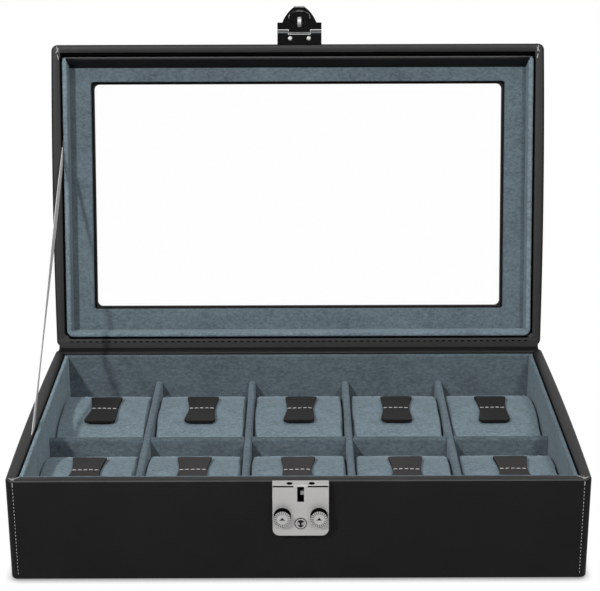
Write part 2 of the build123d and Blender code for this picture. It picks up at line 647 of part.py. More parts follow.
# Ribbon stay, straight from the gap beside the left lining to the same gap in the lid
RIBBON_X = -(BOX_WIDTH / 2 - RIM - LINER_GAP / 2)
ribbon_low = Vector(RIBBON_X, HINGE_Y - RIBBON_BASE, BASE_HEIGHT)
ribbon_high = LID_PLANE.from_local_coords(Vector(RIBBON_X, -RIBBON_LID, RIM_Z))
ribbon_run = ribbon_high - ribbon_low
RIBBON_PLANE = Plane(origin=(ribbon_low + ribbon_high) / 2, x_dir=ribbon_run.normalized(),
                     z_dir=(1, 0, 0))
with BuildPart() as stay_ribbon:
    with BuildSketch(RIBBON_PLANE):
        Rectangle(ribbon_run.length + 2 * RIBBON_TUCK, RIBBON_WIDTH)
    extrude(amount=RIBBON / 2, both=True)
save(stay_ribbon.part, "stay_ribbon")
print(f"stay ribbon between its seams {ribbon_run.length:.1f} mm")

# Lock case: a pressed box, open at the back, with screw bosses inside
KNOB_XS = [LOCK_X + side * KNOB_SPACING / 2 for side in (-1, 1)]
KNOB_Z = BASE_HEIGHT - KNOB_DEPTH
KEY_Z = BASE_HEIGHT - KEY_DEPTH
STUD_XS = [LOCK_X + side * STUD_SPACING / 2 for side in (-1, 1)]


def case_block(inset, depth, mode=Mode.ADD):
    """Raise the outline of the lock case from the front face of the base."""
    with BuildSketch(FRONT) as profile:
        with Locations((LOCK_X, BASE_HEIGHT - CASE_HEIGHT / 2)):
            Rectangle(CASE_WIDTH - 2 * inset, CASE_HEIGHT - 2 * inset)
        fillet(profile.vertices().group_by(Axis.Y)[0], radius=CASE_CORNER - inset)
    extrude(profile.sketch, amount=depth, mode=mode)


def front_rectangle(left, right, top, bottom, mode=Mode.ADD):
    """Draw a rectangle on the front, given from the middle and the ledge of the lock."""
    with Locations((LOCK_X + (left + right) / 2, BASE_HEIGHT - (top + bottom) / 2)):
        Rectangle(right - left, bottom - top, mode=mode)


with BuildPart() as lock_case:
    case_block(0, CASE_DEPTH)
    front_face = lock_case.faces().sort_by(Axis.Y)[0]
    fillet(front_face.outer_wire().edges(), radius=CASE_EDGE_RADIUS)
    case_block(CASE_WALL, CASE_DEPTH - CASE_WALL, Mode.SUBTRACT)
    with BuildSketch(FRONT):
        with Locations([(LOCK_X + x, BASE_HEIGHT + z) for x, z in SCREW_SPOTS]):
            Circle(BOSS_RADIUS)
    extrude(amount=CASE_DEPTH - CASE_WALL)
    lock_hole(FRONT, SCREW_SPOTS, SCREW_RADIUS + RUNNING, SCREW_BITE + FIT)
    with BuildSketch(CASE_FACE):
        front_rectangle(-SLOT_WIDTH / 2, SLOT_WIDTH / 2, SLOT_TOP, SLOT_BOTTOM)
        with Locations([(x + SLIDE_TRAVEL / 2, KNOB_Z) for x in KNOB_XS]):
            SlotOverall(2 * STEM_RADIUS + SLIDE_TRAVEL + 2 * STUD_CLEAR,
                        2 * (STEM_RADIUS + FIT))
        with Locations((LOCK_X, KEY_Z)):
            Circle(SLEEVE_RADIUS + RUNNING)
    extrude(amount=-CASE_WALL, mode=Mode.SUBTRACT)
    with BuildSketch(CASE_FACE):
        for left, right in ((-CREASE_END, -CREASE_START), (CREASE_START, CREASE_END)):
            front_rectangle(left, right, CREASE_TOP, CREASE_BOTTOM)
    extrude(amount=-CREASE_DEPTH, mode=Mode.SUBTRACT)
    with BuildSketch(Plane.XY.offset(BASE_HEIGHT)):
        with Locations([(x, -BOX_DEPTH / 2 - STUD_REACH) for x in STUD_XS]):
            Circle(STUD_RADIUS + STUD_CLEAR)
    extrude(amount=-STUD_LENGTH, mode=Mode.SUBTRACT)
save(lock_case.part, "lock_case")

# Slider behind the front of the case: a bar for the knobs, an arm with the tooth that
# holds the staple, a lug for the spring and a notch for the cam of the key
BAR_TOP = KNOB_DEPTH - SLIDER_BAR_HEIGHT / 2
BAR_BOTTOM = KNOB_DEPTH + SLIDER_BAR_HEIGHT / 2
NOTCH_TOP = KEY_DEPTH - CAM_LENGTH - NOTCH_ROOF
with BuildPart() as lock_slider:
    with BuildSketch(SLIDER_FACE):
        front_rectangle(-SLIDER_BAR_WIDTH / 2, SLIDER_BAR_WIDTH / 2, BAR_TOP, BAR_BOTTOM)
        front_rectangle(ARM_LEFT, ARM_RIGHT, TOOTH_TOP, BAR_TOP)
        front_rectangle(-TOOTH_TIP, ARM_LEFT, TOOTH_TOP, TOOTH_BOTTOM)
        with Locations([(x, KNOB_Z) for x in KNOB_XS]):
            Circle(SLIDER_EYE)
            Circle(TAIL_RADIUS + RUNNING, mode=Mode.SUBTRACT)
        front_rectangle(-CAM_HALF_WIDTH - STUD_CLEAR, CAM_LENGTH, NOTCH_TOP, BAR_BOTTOM,
                        Mode.SUBTRACT)
    extrude(amount=-SLIDER)
    with BuildSketch(SLIDER_FACE.offset(-SLIDER)):
        front_rectangle(ARM_RIGHT - LUG, ARM_RIGHT, SPRING_DEPTH - LUG_HEIGHT / 2,
                        SPRING_DEPTH + LUG_HEIGHT / 2)
    extrude(amount=-LUG_REACH)
save(lock_slider.part, "lock_slider")

# Two round knobs with fluted rims, riveted to the slider through slots in the case
KNOB_FOOT = -BOX_DEPTH / 2 - CASE_DEPTH - KNOB_LIFT
SLIDER_FRONT_Y = SLIDER_FACE.origin.Y
for x, name in zip(KNOB_XS, ("lock_knob_left", "lock_knob_right")):
    with BuildPart() as knob:
        with BuildSketch(Plane(origin=(x, 0, KNOB_Z))):
            with BuildLine():
                Polyline((0, SLIDER_FRONT_Y + SLIDER), (TAIL_RADIUS, SLIDER_FRONT_Y + SLIDER),
                         (TAIL_RADIUS, SLIDER_FRONT_Y), (STEM_RADIUS, SLIDER_FRONT_Y),
                         (STEM_RADIUS, KNOB_FOOT), (KNOB_RADIUS, KNOB_FOOT),
                         (KNOB_RADIUS, KNOB_FOOT - KNOB_RIM))
                ThreePointArc((KNOB_RADIUS, KNOB_FOOT - KNOB_RIM),
                              (KNOB_RADIUS * KNOB_SHOULDER,
                               KNOB_FOOT - KNOB_RIM - (KNOB_HEIGHT - KNOB_RIM) * KNOB_SHOULDER),
                              (0, KNOB_FOOT - KNOB_HEIGHT))
                Line((0, KNOB_FOOT - KNOB_HEIGHT), (0, SLIDER_FRONT_Y + SLIDER))
            make_face()
        revolve(axis=Axis((x, 0, KNOB_Z), (0, 1, 0)))
        with BuildSketch(CASE_FACE.offset(KNOB_LIFT)):
            with Locations((x, KNOB_Z)):
                with PolarLocations(KNOB_RADIUS, KNOB_FLUTES):
                    Circle(KNOB_FLUTE_RADIUS)
        extrude(amount=KNOB_RIM, mode=Mode.SUBTRACT)
    save(knob.part, name)

# Spring between the lug of the slider and the right wall of the case
SPRING_Y = SLIDER_FRONT_Y + SPRING_RADIUS + SLIDE_CLEAR
spring_start = LOCK_X + ARM_RIGHT + SLIDE_CLEAR
spring_end = LOCK_X + CASE_WIDTH / 2 - CASE_WALL - SLIDE_CLEAR
with BuildPart() as lock_spring:
    with BuildSketch(Plane(origin=(spring_start, SPRING_Y, BASE_HEIGHT - SPRING_DEPTH),
                           z_dir=(1, 0, 0))):
        Circle(SPRING_RADIUS)
        Circle(SPRING_RADIUS - SPRING_WIRE, mode=Mode.SUBTRACT)
    extrude(amount=spring_end - spring_start)
save(lock_spring.part, "lock_spring")

# Sleeve of the key cylinder, pressed into the front of the case
with BuildPart() as lock_cylinder:
    with BuildSketch(CASE_FACE.offset(-CASE_WALL)):
        with Locations((LOCK_X, KEY_Z)):
            Circle(SLEEVE_RADIUS)
            Circle(PLUG_RADIUS + RUNNING, mode=Mode.SUBTRACT)
    extrude(amount=CASE_WALL + SLEEVE_PROUD)
save(lock_cylinder.part, "lock_cylinder")

# Turning plug with the keyhole, and the cam that blocks the slider
with BuildPart() as lock_plug:
    with BuildSketch(CASE_FACE.offset(SLEEVE_PROUD - SLIDE_CLEAR)):
        with Locations((LOCK_X, KEY_Z)):
            Circle(PLUG_RADIUS)
    extrude(amount=-PLUG_REAR)
    with BuildSketch(SLIDER_FACE):
        with Locations((LOCK_X + CAM_LENGTH / 2, KEY_Z)):
            Rectangle(CAM_LENGTH, 2 * CAM_HALF_WIDTH)
    extrude(amount=-SLIDER)
    with BuildSketch(CASE_FACE.offset(SLEEVE_PROUD - SLIDE_CLEAR)):
        with Locations((LOCK_X, KEY_Z)):
            SlotOverall(KEY_SLOT_LENGTH, KEY_SLOT_WIDTH, rotation=90)
        with Locations((LOCK_X, KEY_Z + KEY_SLOT_LENGTH / 4)):
            Circle(KEY_EYE)
    extrude(amount=-KEY_SLOT_DEPTH, mode=Mode.SUBTRACT)
save(lock_plug.part, "lock_plug")

# Screws that hold the case, from inside the front board
with BuildPart() as lock_screws:
    for radius, start, length in (
            (HEAD_RADIUS, 0, HEAD_HEIGHT),
            (SCREW_RADIUS, HEAD_HEIGHT, BOARD - HEAD_HEIGHT + LEATHER + SCREW_BITE)):
        with BuildSketch(BOARD_BACK.offset(start)):
            with Locations([(LOCK_X + x, BASE_HEIGHT + z) for x, z in SCREW_SPOTS]):
                Circle(radius)
        extrude(amount=length)
    with BuildSketch(BOARD_BACK):
        with Locations([(LOCK_X + x, BASE_HEIGHT + z) for x, z in SCREW_SPOTS]):
            Rectangle(HEAD_RADIUS * 2, HEAD_HEIGHT / 2)
    extrude(amount=HEAD_HEIGHT / 2, mode=Mode.SUBTRACT)
save(lock_screws.part, "lock_screws")

# The side plane of the hasp holds its hinge line, with X along the open tongue and Y to
# the inner side
HASP_AXIS = LID_PLANE.from_local_coords(Vector(LOCK_X, HASP_AXIS_Y, HASP_AXIS_Z))
HASP_SIDE = Plane(origin=HASP_AXIS, x_dir=-LID_PLANE.y_dir, z_dir=(1, 0, 0))
TONGUE_PLANE = LID_PLANE.offset(HASP_AXIS_Z - KNUCKLE_RADIUS)
HALF_HASP = HASP_WIDTH / 2
HALF_KNUCKLE = MIDDLE_KNUCKLE / 2


def along_hinge(plane, radius, start, end, mode=Mode.ADD):
    """Run a round bar along the hasp's hinge line, between two distances from the middle."""
    with BuildSketch(plane.offset(start)) as profile:
        Circle(radius)
    extrude(profile.sketch, amount=end - start, mode=mode)


# Fixed plate of the hasp: a leaf on the front of the lid, a flange and two knuckles
with BuildPart() as hasp_plate:
    with BuildSketch(HASP_FACE):
        with Locations((LOCK_X, LEAF_HEIGHT / 2)):
            Rectangle(HASP_WIDTH, LEAF_HEIGHT)
    extrude(amount=HASP_PLATE)
    with BuildSketch(HASP_FACE):
        with Locations(PEG_SPOTS):
            Circle(PEG_RADIUS)
    extrude(amount=-PEG_LENGTH)
    with BuildSketch(LID_RIM):
        with Locations((LOCK_X, LID_FRONT - HASP_REACH / 2)):
            Rectangle(HASP_WIDTH, HASP_REACH)
        with Locations((LOCK_X, HASP_AXIS_Y)):
            Rectangle(MIDDLE_KNUCKLE + 2 * KNUCKLE_GAP, 2 * (KNUCKLE_RADIUS + KNUCKLE_GAP),
                      mode=Mode.SUBTRACT)
        with Locations([(x, LID_FRONT - STUD_REACH) for x in STUD_XS]):
            Circle(STUD_SHANK + RUNNING, mode=Mode.SUBTRACT)
    extrude(amount=HASP_PLATE)
    along_hinge(HASP_SIDE, KNUCKLE_RADIUS, HALF_KNUCKLE + KNUCKLE_GAP, HALF_HASP)
    along_hinge(HASP_SIDE, KNUCKLE_RADIUS, -HALF_HASP, -HALF_KNUCKLE - KNUCKLE_GAP)
    along_hinge(HASP_SIDE, PIN_RADIUS + RUNNING, -HALF_HASP, HALF_HASP, Mode.SUBTRACT)
save(hasp_plate.part, "hasp_plate")

# Two studs riveted to the flange, which drop into the holes of the ledge
with BuildPart() as hasp_studs:
    with BuildSketch(LID_RIM):
        with Locations([(x, LID_FRONT - STUD_REACH) for x in STUD_XS]):
            Circle(STUD_RADIUS)
    extrude(amount=-STUD_LENGTH)
    tips = hasp_studs.faces().group_by(Axis(origin=LID_PLANE.origin,
                                            direction=LID_PLANE.z_dir))[0]
    fillet(tips.edges(), radius=STUD_RADIUS / 2)
    with BuildSketch(LID_RIM):
        with Locations([(x, LID_FRONT - STUD_REACH) for x in STUD_XS]):
            Circle(STUD_SHANK)
    extrude(amount=HASP_PLATE)
save(hasp_studs.part, "hasp_studs")

# Hinge pin of the hasp
with BuildPart() as hasp_pin:
    along_hinge(HASP_SIDE, PIN_RADIUS, FIT - HALF_HASP, HALF_HASP - FIT)
save(hasp_pin.part, "hasp_pin")


def hasp_spot(x, distance):
    """Place a point of the tongue, at this distance from the hinge line."""
    return (LOCK_X + x, HASP_AXIS_Y - distance)


def dish_ellipse(plane, grow):
    """Draw the outline of the pressed dish on the tongue, grown all round."""
    with BuildSketch(plane) as profile:
        with Locations(hasp_spot(0, DISH_CENTRE)):
            Ellipse(DISH_WIDTH / 2 + grow, DISH_LENGTH / 2 + grow)
    return profile.sketch


# Tongue: broad shoulders, a bell-shaped end with a pressed dish, and a lip at its tip
TONGUE_START = KNUCKLE_RADIUS + KNUCKLE_GAP
with BuildPart() as hasp_tongue:
    with BuildSketch(TONGUE_PLANE):
        with BuildLine():
            Polyline(hasp_spot(-HALF_KNUCKLE, 0), hasp_spot(-HALF_KNUCKLE, TONGUE_START),
                     hasp_spot(-HALF_HASP, TONGUE_START), hasp_spot(-HALF_HASP, TONGUE_SHOULDER),
                     hasp_spot(-DOME_WIDTH / 2, TONGUE_SHOULDER))
            ThreePointArc(hasp_spot(-DOME_WIDTH / 2, TONGUE_SHOULDER),
                          hasp_spot(-DOME_MID_WIDTH / 2, DOME_MID),
                          hasp_spot(-TIP_WIDTH / 2, TONGUE_LENGTH))
            Line(hasp_spot(-TIP_WIDTH / 2, TONGUE_LENGTH), hasp_spot(TIP_WIDTH / 2, TONGUE_LENGTH))
            ThreePointArc(hasp_spot(TIP_WIDTH / 2, TONGUE_LENGTH),
                          hasp_spot(DOME_MID_WIDTH / 2, DOME_MID),
                          hasp_spot(DOME_WIDTH / 2, TONGUE_SHOULDER))
            Polyline(hasp_spot(DOME_WIDTH / 2, TONGUE_SHOULDER),
                     hasp_spot(HALF_HASP, TONGUE_SHOULDER), hasp_spot(HALF_HASP, TONGUE_START),
                     hasp_spot(HALF_KNUCKLE, TONGUE_START), hasp_spot(HALF_KNUCKLE, 0),
                     hasp_spot(-HALF_KNUCKLE, 0))
        make_face()
    extrude(amount=HASP_PLATE)
    loft([dish_ellipse(TONGUE_PLANE.offset(HASP_PLATE), DISH_DEPTH),
          dish_ellipse(TONGUE_PLANE.offset(HASP_PLATE + BOSS_RISE), DISH_DEPTH - BOSS_RISE)])
    loft([dish_ellipse(TONGUE_PLANE, 0),
          dish_ellipse(TONGUE_PLANE.offset(DISH_DEPTH), -DISH_DEPTH)], mode=Mode.SUBTRACT)
    with BuildSketch(HASP_SIDE.offset(-TIP_WIDTH / 2)):
        with Locations((TONGUE_LENGTH, KNUCKLE_RADIUS - HASP_PLATE / 2)):
            Circle(TIP_LIP)
    extrude(amount=TIP_WIDTH)
    along_hinge(HASP_SIDE, KNUCKLE_RADIUS, -HALF_KNUCKLE, HALF_KNUCKLE)
    along_hinge(HASP_SIDE, PIN_RADIUS + RUNNING, -HALF_KNUCKLE, HALF_KNUCKLE, Mode.SUBTRACT)
save(hasp_tongue.part, "hasp_tongue")

# Staple on the inner side of the tongue: a looped strip that enters the slot of the lock
LOOP_RADIUS = (STAPLE_FAR - STAPLE_NEAR) / 2
LOOP_CENTRE = KNUCKLE_RADIUS + STAPLE_REACH - LOOP_RADIUS


def staple_loop(inset, mode=Mode.ADD):
    """Draw the loop of the staple, flat at the tongue and round at its end."""
    half = LOOP_RADIUS - inset
    with BuildLine() as edge:
        Polyline((STAPLE_MID - half, LOOP_CENTRE), (STAPLE_MID - half, KNUCKLE_RADIUS),
                 (STAPLE_MID + half, KNUCKLE_RADIUS), (STAPLE_MID + half, LOOP_CENTRE))
        ThreePointArc((STAPLE_MID + half, LOOP_CENTRE), (STAPLE_MID, LOOP_CENTRE + half),
                      (STAPLE_MID - half, LOOP_CENTRE))
    make_face(edge.edges(), mode=mode)


with BuildPart() as hasp_staple:
    with BuildSketch(HASP_SIDE):
        staple_loop(0)
        staple_loop(STAPLE_WIRE, Mode.SUBTRACT)
        with Locations((STAPLE_FAR - STAPLE_WIRE / 2, KNUCKLE_RADIUS - DISH_DEPTH / 2)):
            Rectangle(STAPLE_WIRE, DISH_DEPTH)
    extrude(amount=STAPLE_WIDTH / 2, both=True)
save(hasp_staple.part, "hasp_staple")
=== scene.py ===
import math
import random

import bpy
from mathutils import Euler, Matrix, Vector, noise


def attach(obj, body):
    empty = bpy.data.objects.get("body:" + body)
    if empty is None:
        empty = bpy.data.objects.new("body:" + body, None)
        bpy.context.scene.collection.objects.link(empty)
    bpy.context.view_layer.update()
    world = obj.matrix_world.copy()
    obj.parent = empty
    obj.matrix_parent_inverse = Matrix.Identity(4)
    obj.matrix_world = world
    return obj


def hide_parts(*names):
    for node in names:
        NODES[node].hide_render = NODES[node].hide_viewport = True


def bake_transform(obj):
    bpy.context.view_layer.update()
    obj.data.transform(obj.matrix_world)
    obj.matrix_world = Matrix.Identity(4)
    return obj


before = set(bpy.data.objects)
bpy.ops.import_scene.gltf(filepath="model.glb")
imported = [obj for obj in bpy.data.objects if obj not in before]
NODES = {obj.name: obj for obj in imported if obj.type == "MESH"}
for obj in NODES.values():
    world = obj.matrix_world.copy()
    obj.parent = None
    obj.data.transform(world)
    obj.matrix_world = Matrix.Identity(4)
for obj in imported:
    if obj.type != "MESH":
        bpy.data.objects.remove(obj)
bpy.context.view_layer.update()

# Sizes, in metres
HALF_W, HALF_D = 0.165, 0.102
CORNER, CORNER_STEPS = 0.004, 6
LEAST_RADIUS, LEAST_LID_RADIUS = 0.0004, 0.0006
BASE_TOP = 0.0630
HINGE = Vector((0.0, 0.103, 0.0634))
OPEN = math.radians(103.1)
RIM = 0.0004
LID_MIDDLE = -0.103
LID_THICK, LID_EDGE, LID_RECESS = 0.022, 0.0016, 0.013
WINDOW_HALF_W, WINDOW_HALF_D, WINDOW_RADIUS = 0.139, 0.076, 0.0035
LEATHER, INNER_FACE, TURN_IN = 0.0008, 0.0012, 0.0052
LINING_OUT, LINING_IN = 0.0066, 0.0102
BOW_BAND, BASE_BOW, LID_BOW = 0.006, 0.0012, 0.0011
LOCK_X = 0.0012
BAY_PITCH = 0.06322
BAY_XS = [(i - 2) * BAY_PITCH for i in range(5)]
ROW_YS = {"rear": 0.047525, "front": -0.047525}
CUSHION_FOOT = 0.0069

# The frame of the lid: origin on the hinge line, Y towards its rear edge, Z through its thickness,
# with the rim of the lid at a height of RIM
LID = Matrix((
    (1, 0, 0, HINGE.x),
    (0, math.cos(OPEN), math.sin(OPEN), HINGE.y),
    (0, -math.sin(OPEN), math.cos(OPEN), HINGE.z),
    (0, 0, 0, 1),
))
INTO_BOX = LID.to_3x3() @ Vector((0, 0, -1))


# Meshes
def mesh_object(name, verts, faces, mat, smooth=40.0):
    me = bpy.data.meshes.new(name)
    me.from_pydata([tuple(v) for v in verts], [], faces)
    me.validate()
    me.update()
    if smooth:
        me.shade_smooth()
        me.set_sharp_from_angle(angle=math.radians(smooth))
    me.materials.append(mat)
    ob = bpy.data.objects.new(name, me)
    bpy.context.scene.collection.objects.link(ob)
    return ob


def corner_loop(half_x, half_y, radius, side=1):
    """Points round a rounded rectangle, anticlockwise, with the sides divided in `side` parts."""
    steps = CORNER_STEPS
    points = []
    for k, (sx, sy) in enumerate(((1, 1), (-1, 1), (-1, -1), (1, -1))):
        cx, cy = sx * (half_x - radius), sy * (half_y - radius)
        for i in range(steps + 1):
            a = math.radians(90 * k) + math.radians(90) * i / steps
            points.append((cx + radius * math.cos(a), cy + radius * math.sin(a)))
    if side > 1:
        full, n = [], len(points)
        for i, p in enumerate(points):
            full.append(p)
            if (i + 1) % (steps + 1) == 0:
                q = points[(i + 1) % n]
                for j in range(1, side):
                    t = j / side
                    full.append((p[0] + (q[0] - p[0]) * t, p[1] + (q[1] - p[1]) * t))
        points = full
    return points


def ring_faces(rows, n, base=0, closed=False):
    """Faces between rows of n points in a ring. A closed body also joins its last row to its first."""
    faces = []
    for j in range(rows if closed else rows - 1):
        a, b = base + j * n, base + (j + 1) % rows * n
        for i in range(n):
            h = (i + 1) % n
            faces.append((a + i, a + h, b + h, b + i))
    return faces


def end_faces(rows, n, base=0):
    """The two faces that close the ends of such rows."""
    return [tuple(base + i for i in range(n))[::-1], tuple(base + (rows - 1) * n + i for i in range(n))]


def sweep(name, profile, mat, centre=(0, 0), matrix=Matrix(), side=1):
    """A closed profile of (half_x, half_y, radius, z) carried round a rounded rectangle."""
    rows = [corner_loop(hx, hy, r, side) for hx, hy, r, z in profile]
    verts = []
    for (hx, hy, r, z), row in zip(profile, rows):
        verts += [matrix @ Vector((x + centre[0], y + centre[1], z)) for x, y in row]
    return mesh_object(name, verts, ring_faces(len(rows), len(rows[0]), closed=True), mat)


def bow(ob, amount, centre_y=0.0, matrix=Matrix()):
    """Push the outer leather of the two sides out a little in the middle."""
    back = matrix.inverted()
    for v in ob.data.vertices:
        p = back @ v.co
        share = max(0.0, min(1.0, (abs(p.x) - (HALF_W - BOW_BAND)) / BOW_BAND))
        p.x += math.copysign(amount * share * max(0.0, 1 - ((p.y - centre_y) / HALF_D) ** 2), p.x)
        v.co = matrix @ p
    ob.data.update()


def paint(ob, rules):
    """Give faces a lighter leather by their centre and normal, as painted light and painted highlights;
    the last rule that holds wins.
    """
    for mat, test in rules:
        ob.data.materials.append(mat)
        for face in ob.data.polygons:
            if test(face.center, face.normal):
                face.material_index = len(ob.data.materials) - 1


def inset(points):
    """Profile points given as (inset, z) from the outer faces of the box."""
    return [(HALF_W - d, HALF_D - d, max(CORNER - d, LEAST_RADIUS), z) for d, z in points]


def arc(cx, cz, r, a0, a1, n):
    """Points of an arc in a profile, angles in degrees."""
    return [(cx + r * math.cos(math.radians(a0 + (a1 - a0) * i / n)),
             cz + r * math.sin(math.radians(a0 + (a1 - a0) * i / n))) for i in range(n + 1)]


def strip(name, profile, half_length, parts, mat):
    """A closed outline of (y, z) points run along X."""
    rows, n, verts = parts + 1, len(profile), []
    for j in range(rows):
        x = half_length * (2 * j / parts - 1)
        verts += [(x, y, z) for y, z in profile]
    return mesh_object(name, verts, ring_faces(rows, n) + end_faces(rows, n), mat)


# Cross sections of a thread: place along it, share of its width, height in half widths
THREAD_RINGS = ((0.0, 0.25, -0.9), (0.08, 0.8, -0.2), (0.3, 1.0, 0.25), (0.7, 1.0, 0.25),
                (0.92, 0.8, -0.2), (1.0, 0.25, -0.9))


def stitches(name, runs, mat, width, flat=1.0):
    """Short rounded threads. Each run is (start, end, outward normal)."""
    sides, rows = 6, len(THREAD_RINGS)
    verts, faces = [], []
    for a, b, normal in runs:
        a, b, normal = Vector(a), Vector(b), Vector(normal).normalized()
        along = b - a
        length = along.length
        along.normalize()
        across = along.cross(normal).normalized()
        base = len(verts)
        for t, w, lift in THREAD_RINGS:
            for s in range(sides):
                q = 2 * math.pi * s / sides
                verts.append(a + along * (length * t) + across * (math.cos(q) * w * width / 2)
                             + normal * ((math.sin(q) * w + lift) * flat * width / 2))
        faces += ring_faces(rows, sides, base) + end_faces(rows, sides, base)
    return mesh_object(name, verts, faces, mat, 80)


# Materials
def new_material(name):
    m = bpy.data.materials.new(name)
    m.use_nodes = True
    t = m.node_tree
    return m, t, t.nodes["Principled BSDF"]


def node(tree, kind, **inputs):
    n = tree.nodes.new(kind)
    for key, value in inputs.items():
        key = key.replace("_", " ")
        n.inputs[key].default_value = value
    return n


def object_coords(tree, scale=(1, 1, 1)):
    c = tree.nodes.new("ShaderNodeTexCoord")
    m = node(tree, "ShaderNodeMapping", Scale=scale)
    tree.links.new(c.outputs["Object"], m.inputs["Vector"])
    return m.outputs["Vector"]


def ramp(tree, source, stops):
    r = tree.nodes.new("ShaderNodeValToRGB")
    e = r.color_ramp.elements
    while len(e) < len(stops):
        e.new(0.5)
    for el, (pos, col) in zip(e, stops):
        el.position = pos
        el.color = (*col, 1) if len(col) == 3 else col
    tree.links.new(source, r.inputs["Fac"])
    return r.outputs["Color"]


def shade(colour, factor):
    return tuple(c * factor for c in colour)


def noise_texture(tree, vector, scale, detail, roughness=0.5):
    n = node(tree, "ShaderNodeTexNoise", Scale=scale, Detail=detail, Roughness=roughness)
    tree.links.new(vector, n.inputs["Vector"])
    return n.outputs["Fac"]


def add_bump(tree, shader, height, strength, distance):
    b = node(tree, "ShaderNodeBump", Strength=strength, Distance=distance)
    tree.links.new(height, b.inputs["Height"])
    tree.links.new(b.outputs["Normal"], shader.inputs["Normal"])


def vary_colour(tree, shader, source, colour, stops):
    """A base colour that changes along the source, by stops of (place, factor of the colour)."""
    tones = [(place, shade(colour, factor)) for place, factor in stops]
    tree.links.new(ramp(tree, source, tones), shader.inputs["Base Color"])


def leather(name, colour, roughness=0.5, specular=0.4, grain=1100.0, bump=0.25):
    m, t, p = new_material(name)
    v = object_coords(t)
    cells = node(t, "ShaderNodeTexVoronoi", Scale=grain)
    cells.feature = "DISTANCE_TO_EDGE"
    t.links.new(v, cells.inputs["Vector"])
    fine = noise_texture(t, v, grain * 0.6, 3.0)
    wide = noise_texture(t, v, 35.0, 2.0)
    mix = node(t, "ShaderNodeMath")
    mix.operation = "MULTIPLY_ADD"
    mix.inputs[1].default_value = 0.6
    t.links.new(cells.outputs["Distance"], mix.inputs[0])
    t.links.new(fine, mix.inputs[2])
    add_bump(t, p, mix.outputs[0], bump, 0.00025)
    vary_colour(t, p, wide, colour, ((0.3, 0.85), (0.7, 1.15)))
    p.inputs["Roughness"].default_value = roughness
    p.inputs["Specular IOR Level"].default_value = specular
    return m


# Middle and half width of the summed noise of the suede, and how far it changes the colour
NAP_MIDDLE, NAP_SPREAD, NAP_DEPTH = 1.45, 0.42, 0.42


def suede(name, colour, stretch=(1, 1, 1), contrast=1.0, bump=0.6):
    """Brushed nap: fine specks, streaks about a millimetre wide and broad soft patches."""
    m, t, p = new_material(name)
    v = object_coords(t)
    s = object_coords(t, stretch)
    layers = []
    for source, scale, detail, weight in ((v, 1500.0, 3.0, 0.9), (s, 600.0, 3.0, 1.0),
                                          (s, 150.0, 3.0, 0.5), (v, 24.0, 2.0, 0.5)):
        layers.append((noise_texture(t, source, scale, detail, 0.6), weight))
    total = None
    for out, weight in layers:
        step = t.nodes.new("ShaderNodeMath")
        step.operation = "MULTIPLY_ADD"
        step.inputs[1].default_value = weight
        step.inputs[2].default_value = 0.0
        t.links.new(out, step.inputs[0])
        if total:
            t.links.new(total, step.inputs[2])
        total = step.outputs[0]
    spread = t.nodes.new("ShaderNodeMapRange")
    spread.inputs["From Min"].default_value = NAP_MIDDLE - NAP_SPREAD
    spread.inputs["From Max"].default_value = NAP_MIDDLE + NAP_SPREAD
    t.links.new(total, spread.inputs["Value"])
    k = NAP_DEPTH * contrast
    vary_colour(t, p, spread.outputs["Result"], colour, ((0.0, 1 - k), (1.0, 1 + k)))
    add_bump(t, p, total, bump, 0.0003)
    p.inputs["Roughness"].default_value = 1.0
    p.inputs["Specular IOR Level"].default_value = 0.05
    p.inputs["Sheen Weight"].default_value = 0.2
    p.inputs["Sheen Roughness"].default_value = 0.5
    p.inputs["Sheen Tint"].default_value = (0.7, 0.85, 0.95, 1)
    return m


def metal(name, colour, roughness, brush=0.0, metallic=1.0):
    m, t, p = new_material(name)
    v = object_coords(t, (1, 1, 1) if not brush else (60, 60, 1500))
    grain = noise_texture(t, v, 40.0 if brush else 500.0, 3.0)
    r = t.nodes.new("ShaderNodeMapRange")
    r.inputs["To Min"].default_value = roughness * 0.8
    r.inputs["To Max"].default_value = roughness * 1.25
    t.links.new(grain, r.inputs["Value"])
    t.links.new(r.outputs["Result"], p.inputs["Roughness"])
    if brush:
        add_bump(t, p, grain, brush, 0.00005)
    p.inputs["Base Color"].default_value = (*colour, 1)
    p.inputs["Metallic"].default_value = metallic
    return m


def plain(name, colour, roughness=0.9, scale=400.0, bump=0.3, depth=0.0002, specular=0.2):
    m, t, p = new_material(name)
    v = object_coords(t)
    grain = noise_texture(t, v, scale, 4.0)
    vary_colour(t, p, grain, colour, ((0.3, 0.88), (0.7, 1.12)))
    add_bump(t, p, grain, bump, depth)
    p.inputs["Roughness"].default_value = roughness
    p.inputs["Specular IOR Level"].default_value = specular
    return m


def woven(name, colour):
    m, t, p = new_material(name)
    v = object_coords(t)
    w = node(t, "ShaderNodeTexWave", Scale=900.0, Distortion=0.5)
    w.bands_direction = "Z"
    t.links.new(v, w.inputs["Vector"])
    vary_colour(t, p, w.outputs["Fac"], colour, ((0.2, 0.8), (0.8, 1.15)))
    add_bump(t, p, w.outputs["Fac"], 0.4, 0.0001)
    p.inputs["Roughness"].default_value = 0.7
    p.inputs["Sheen Weight"].default_value = 0.3
    return m


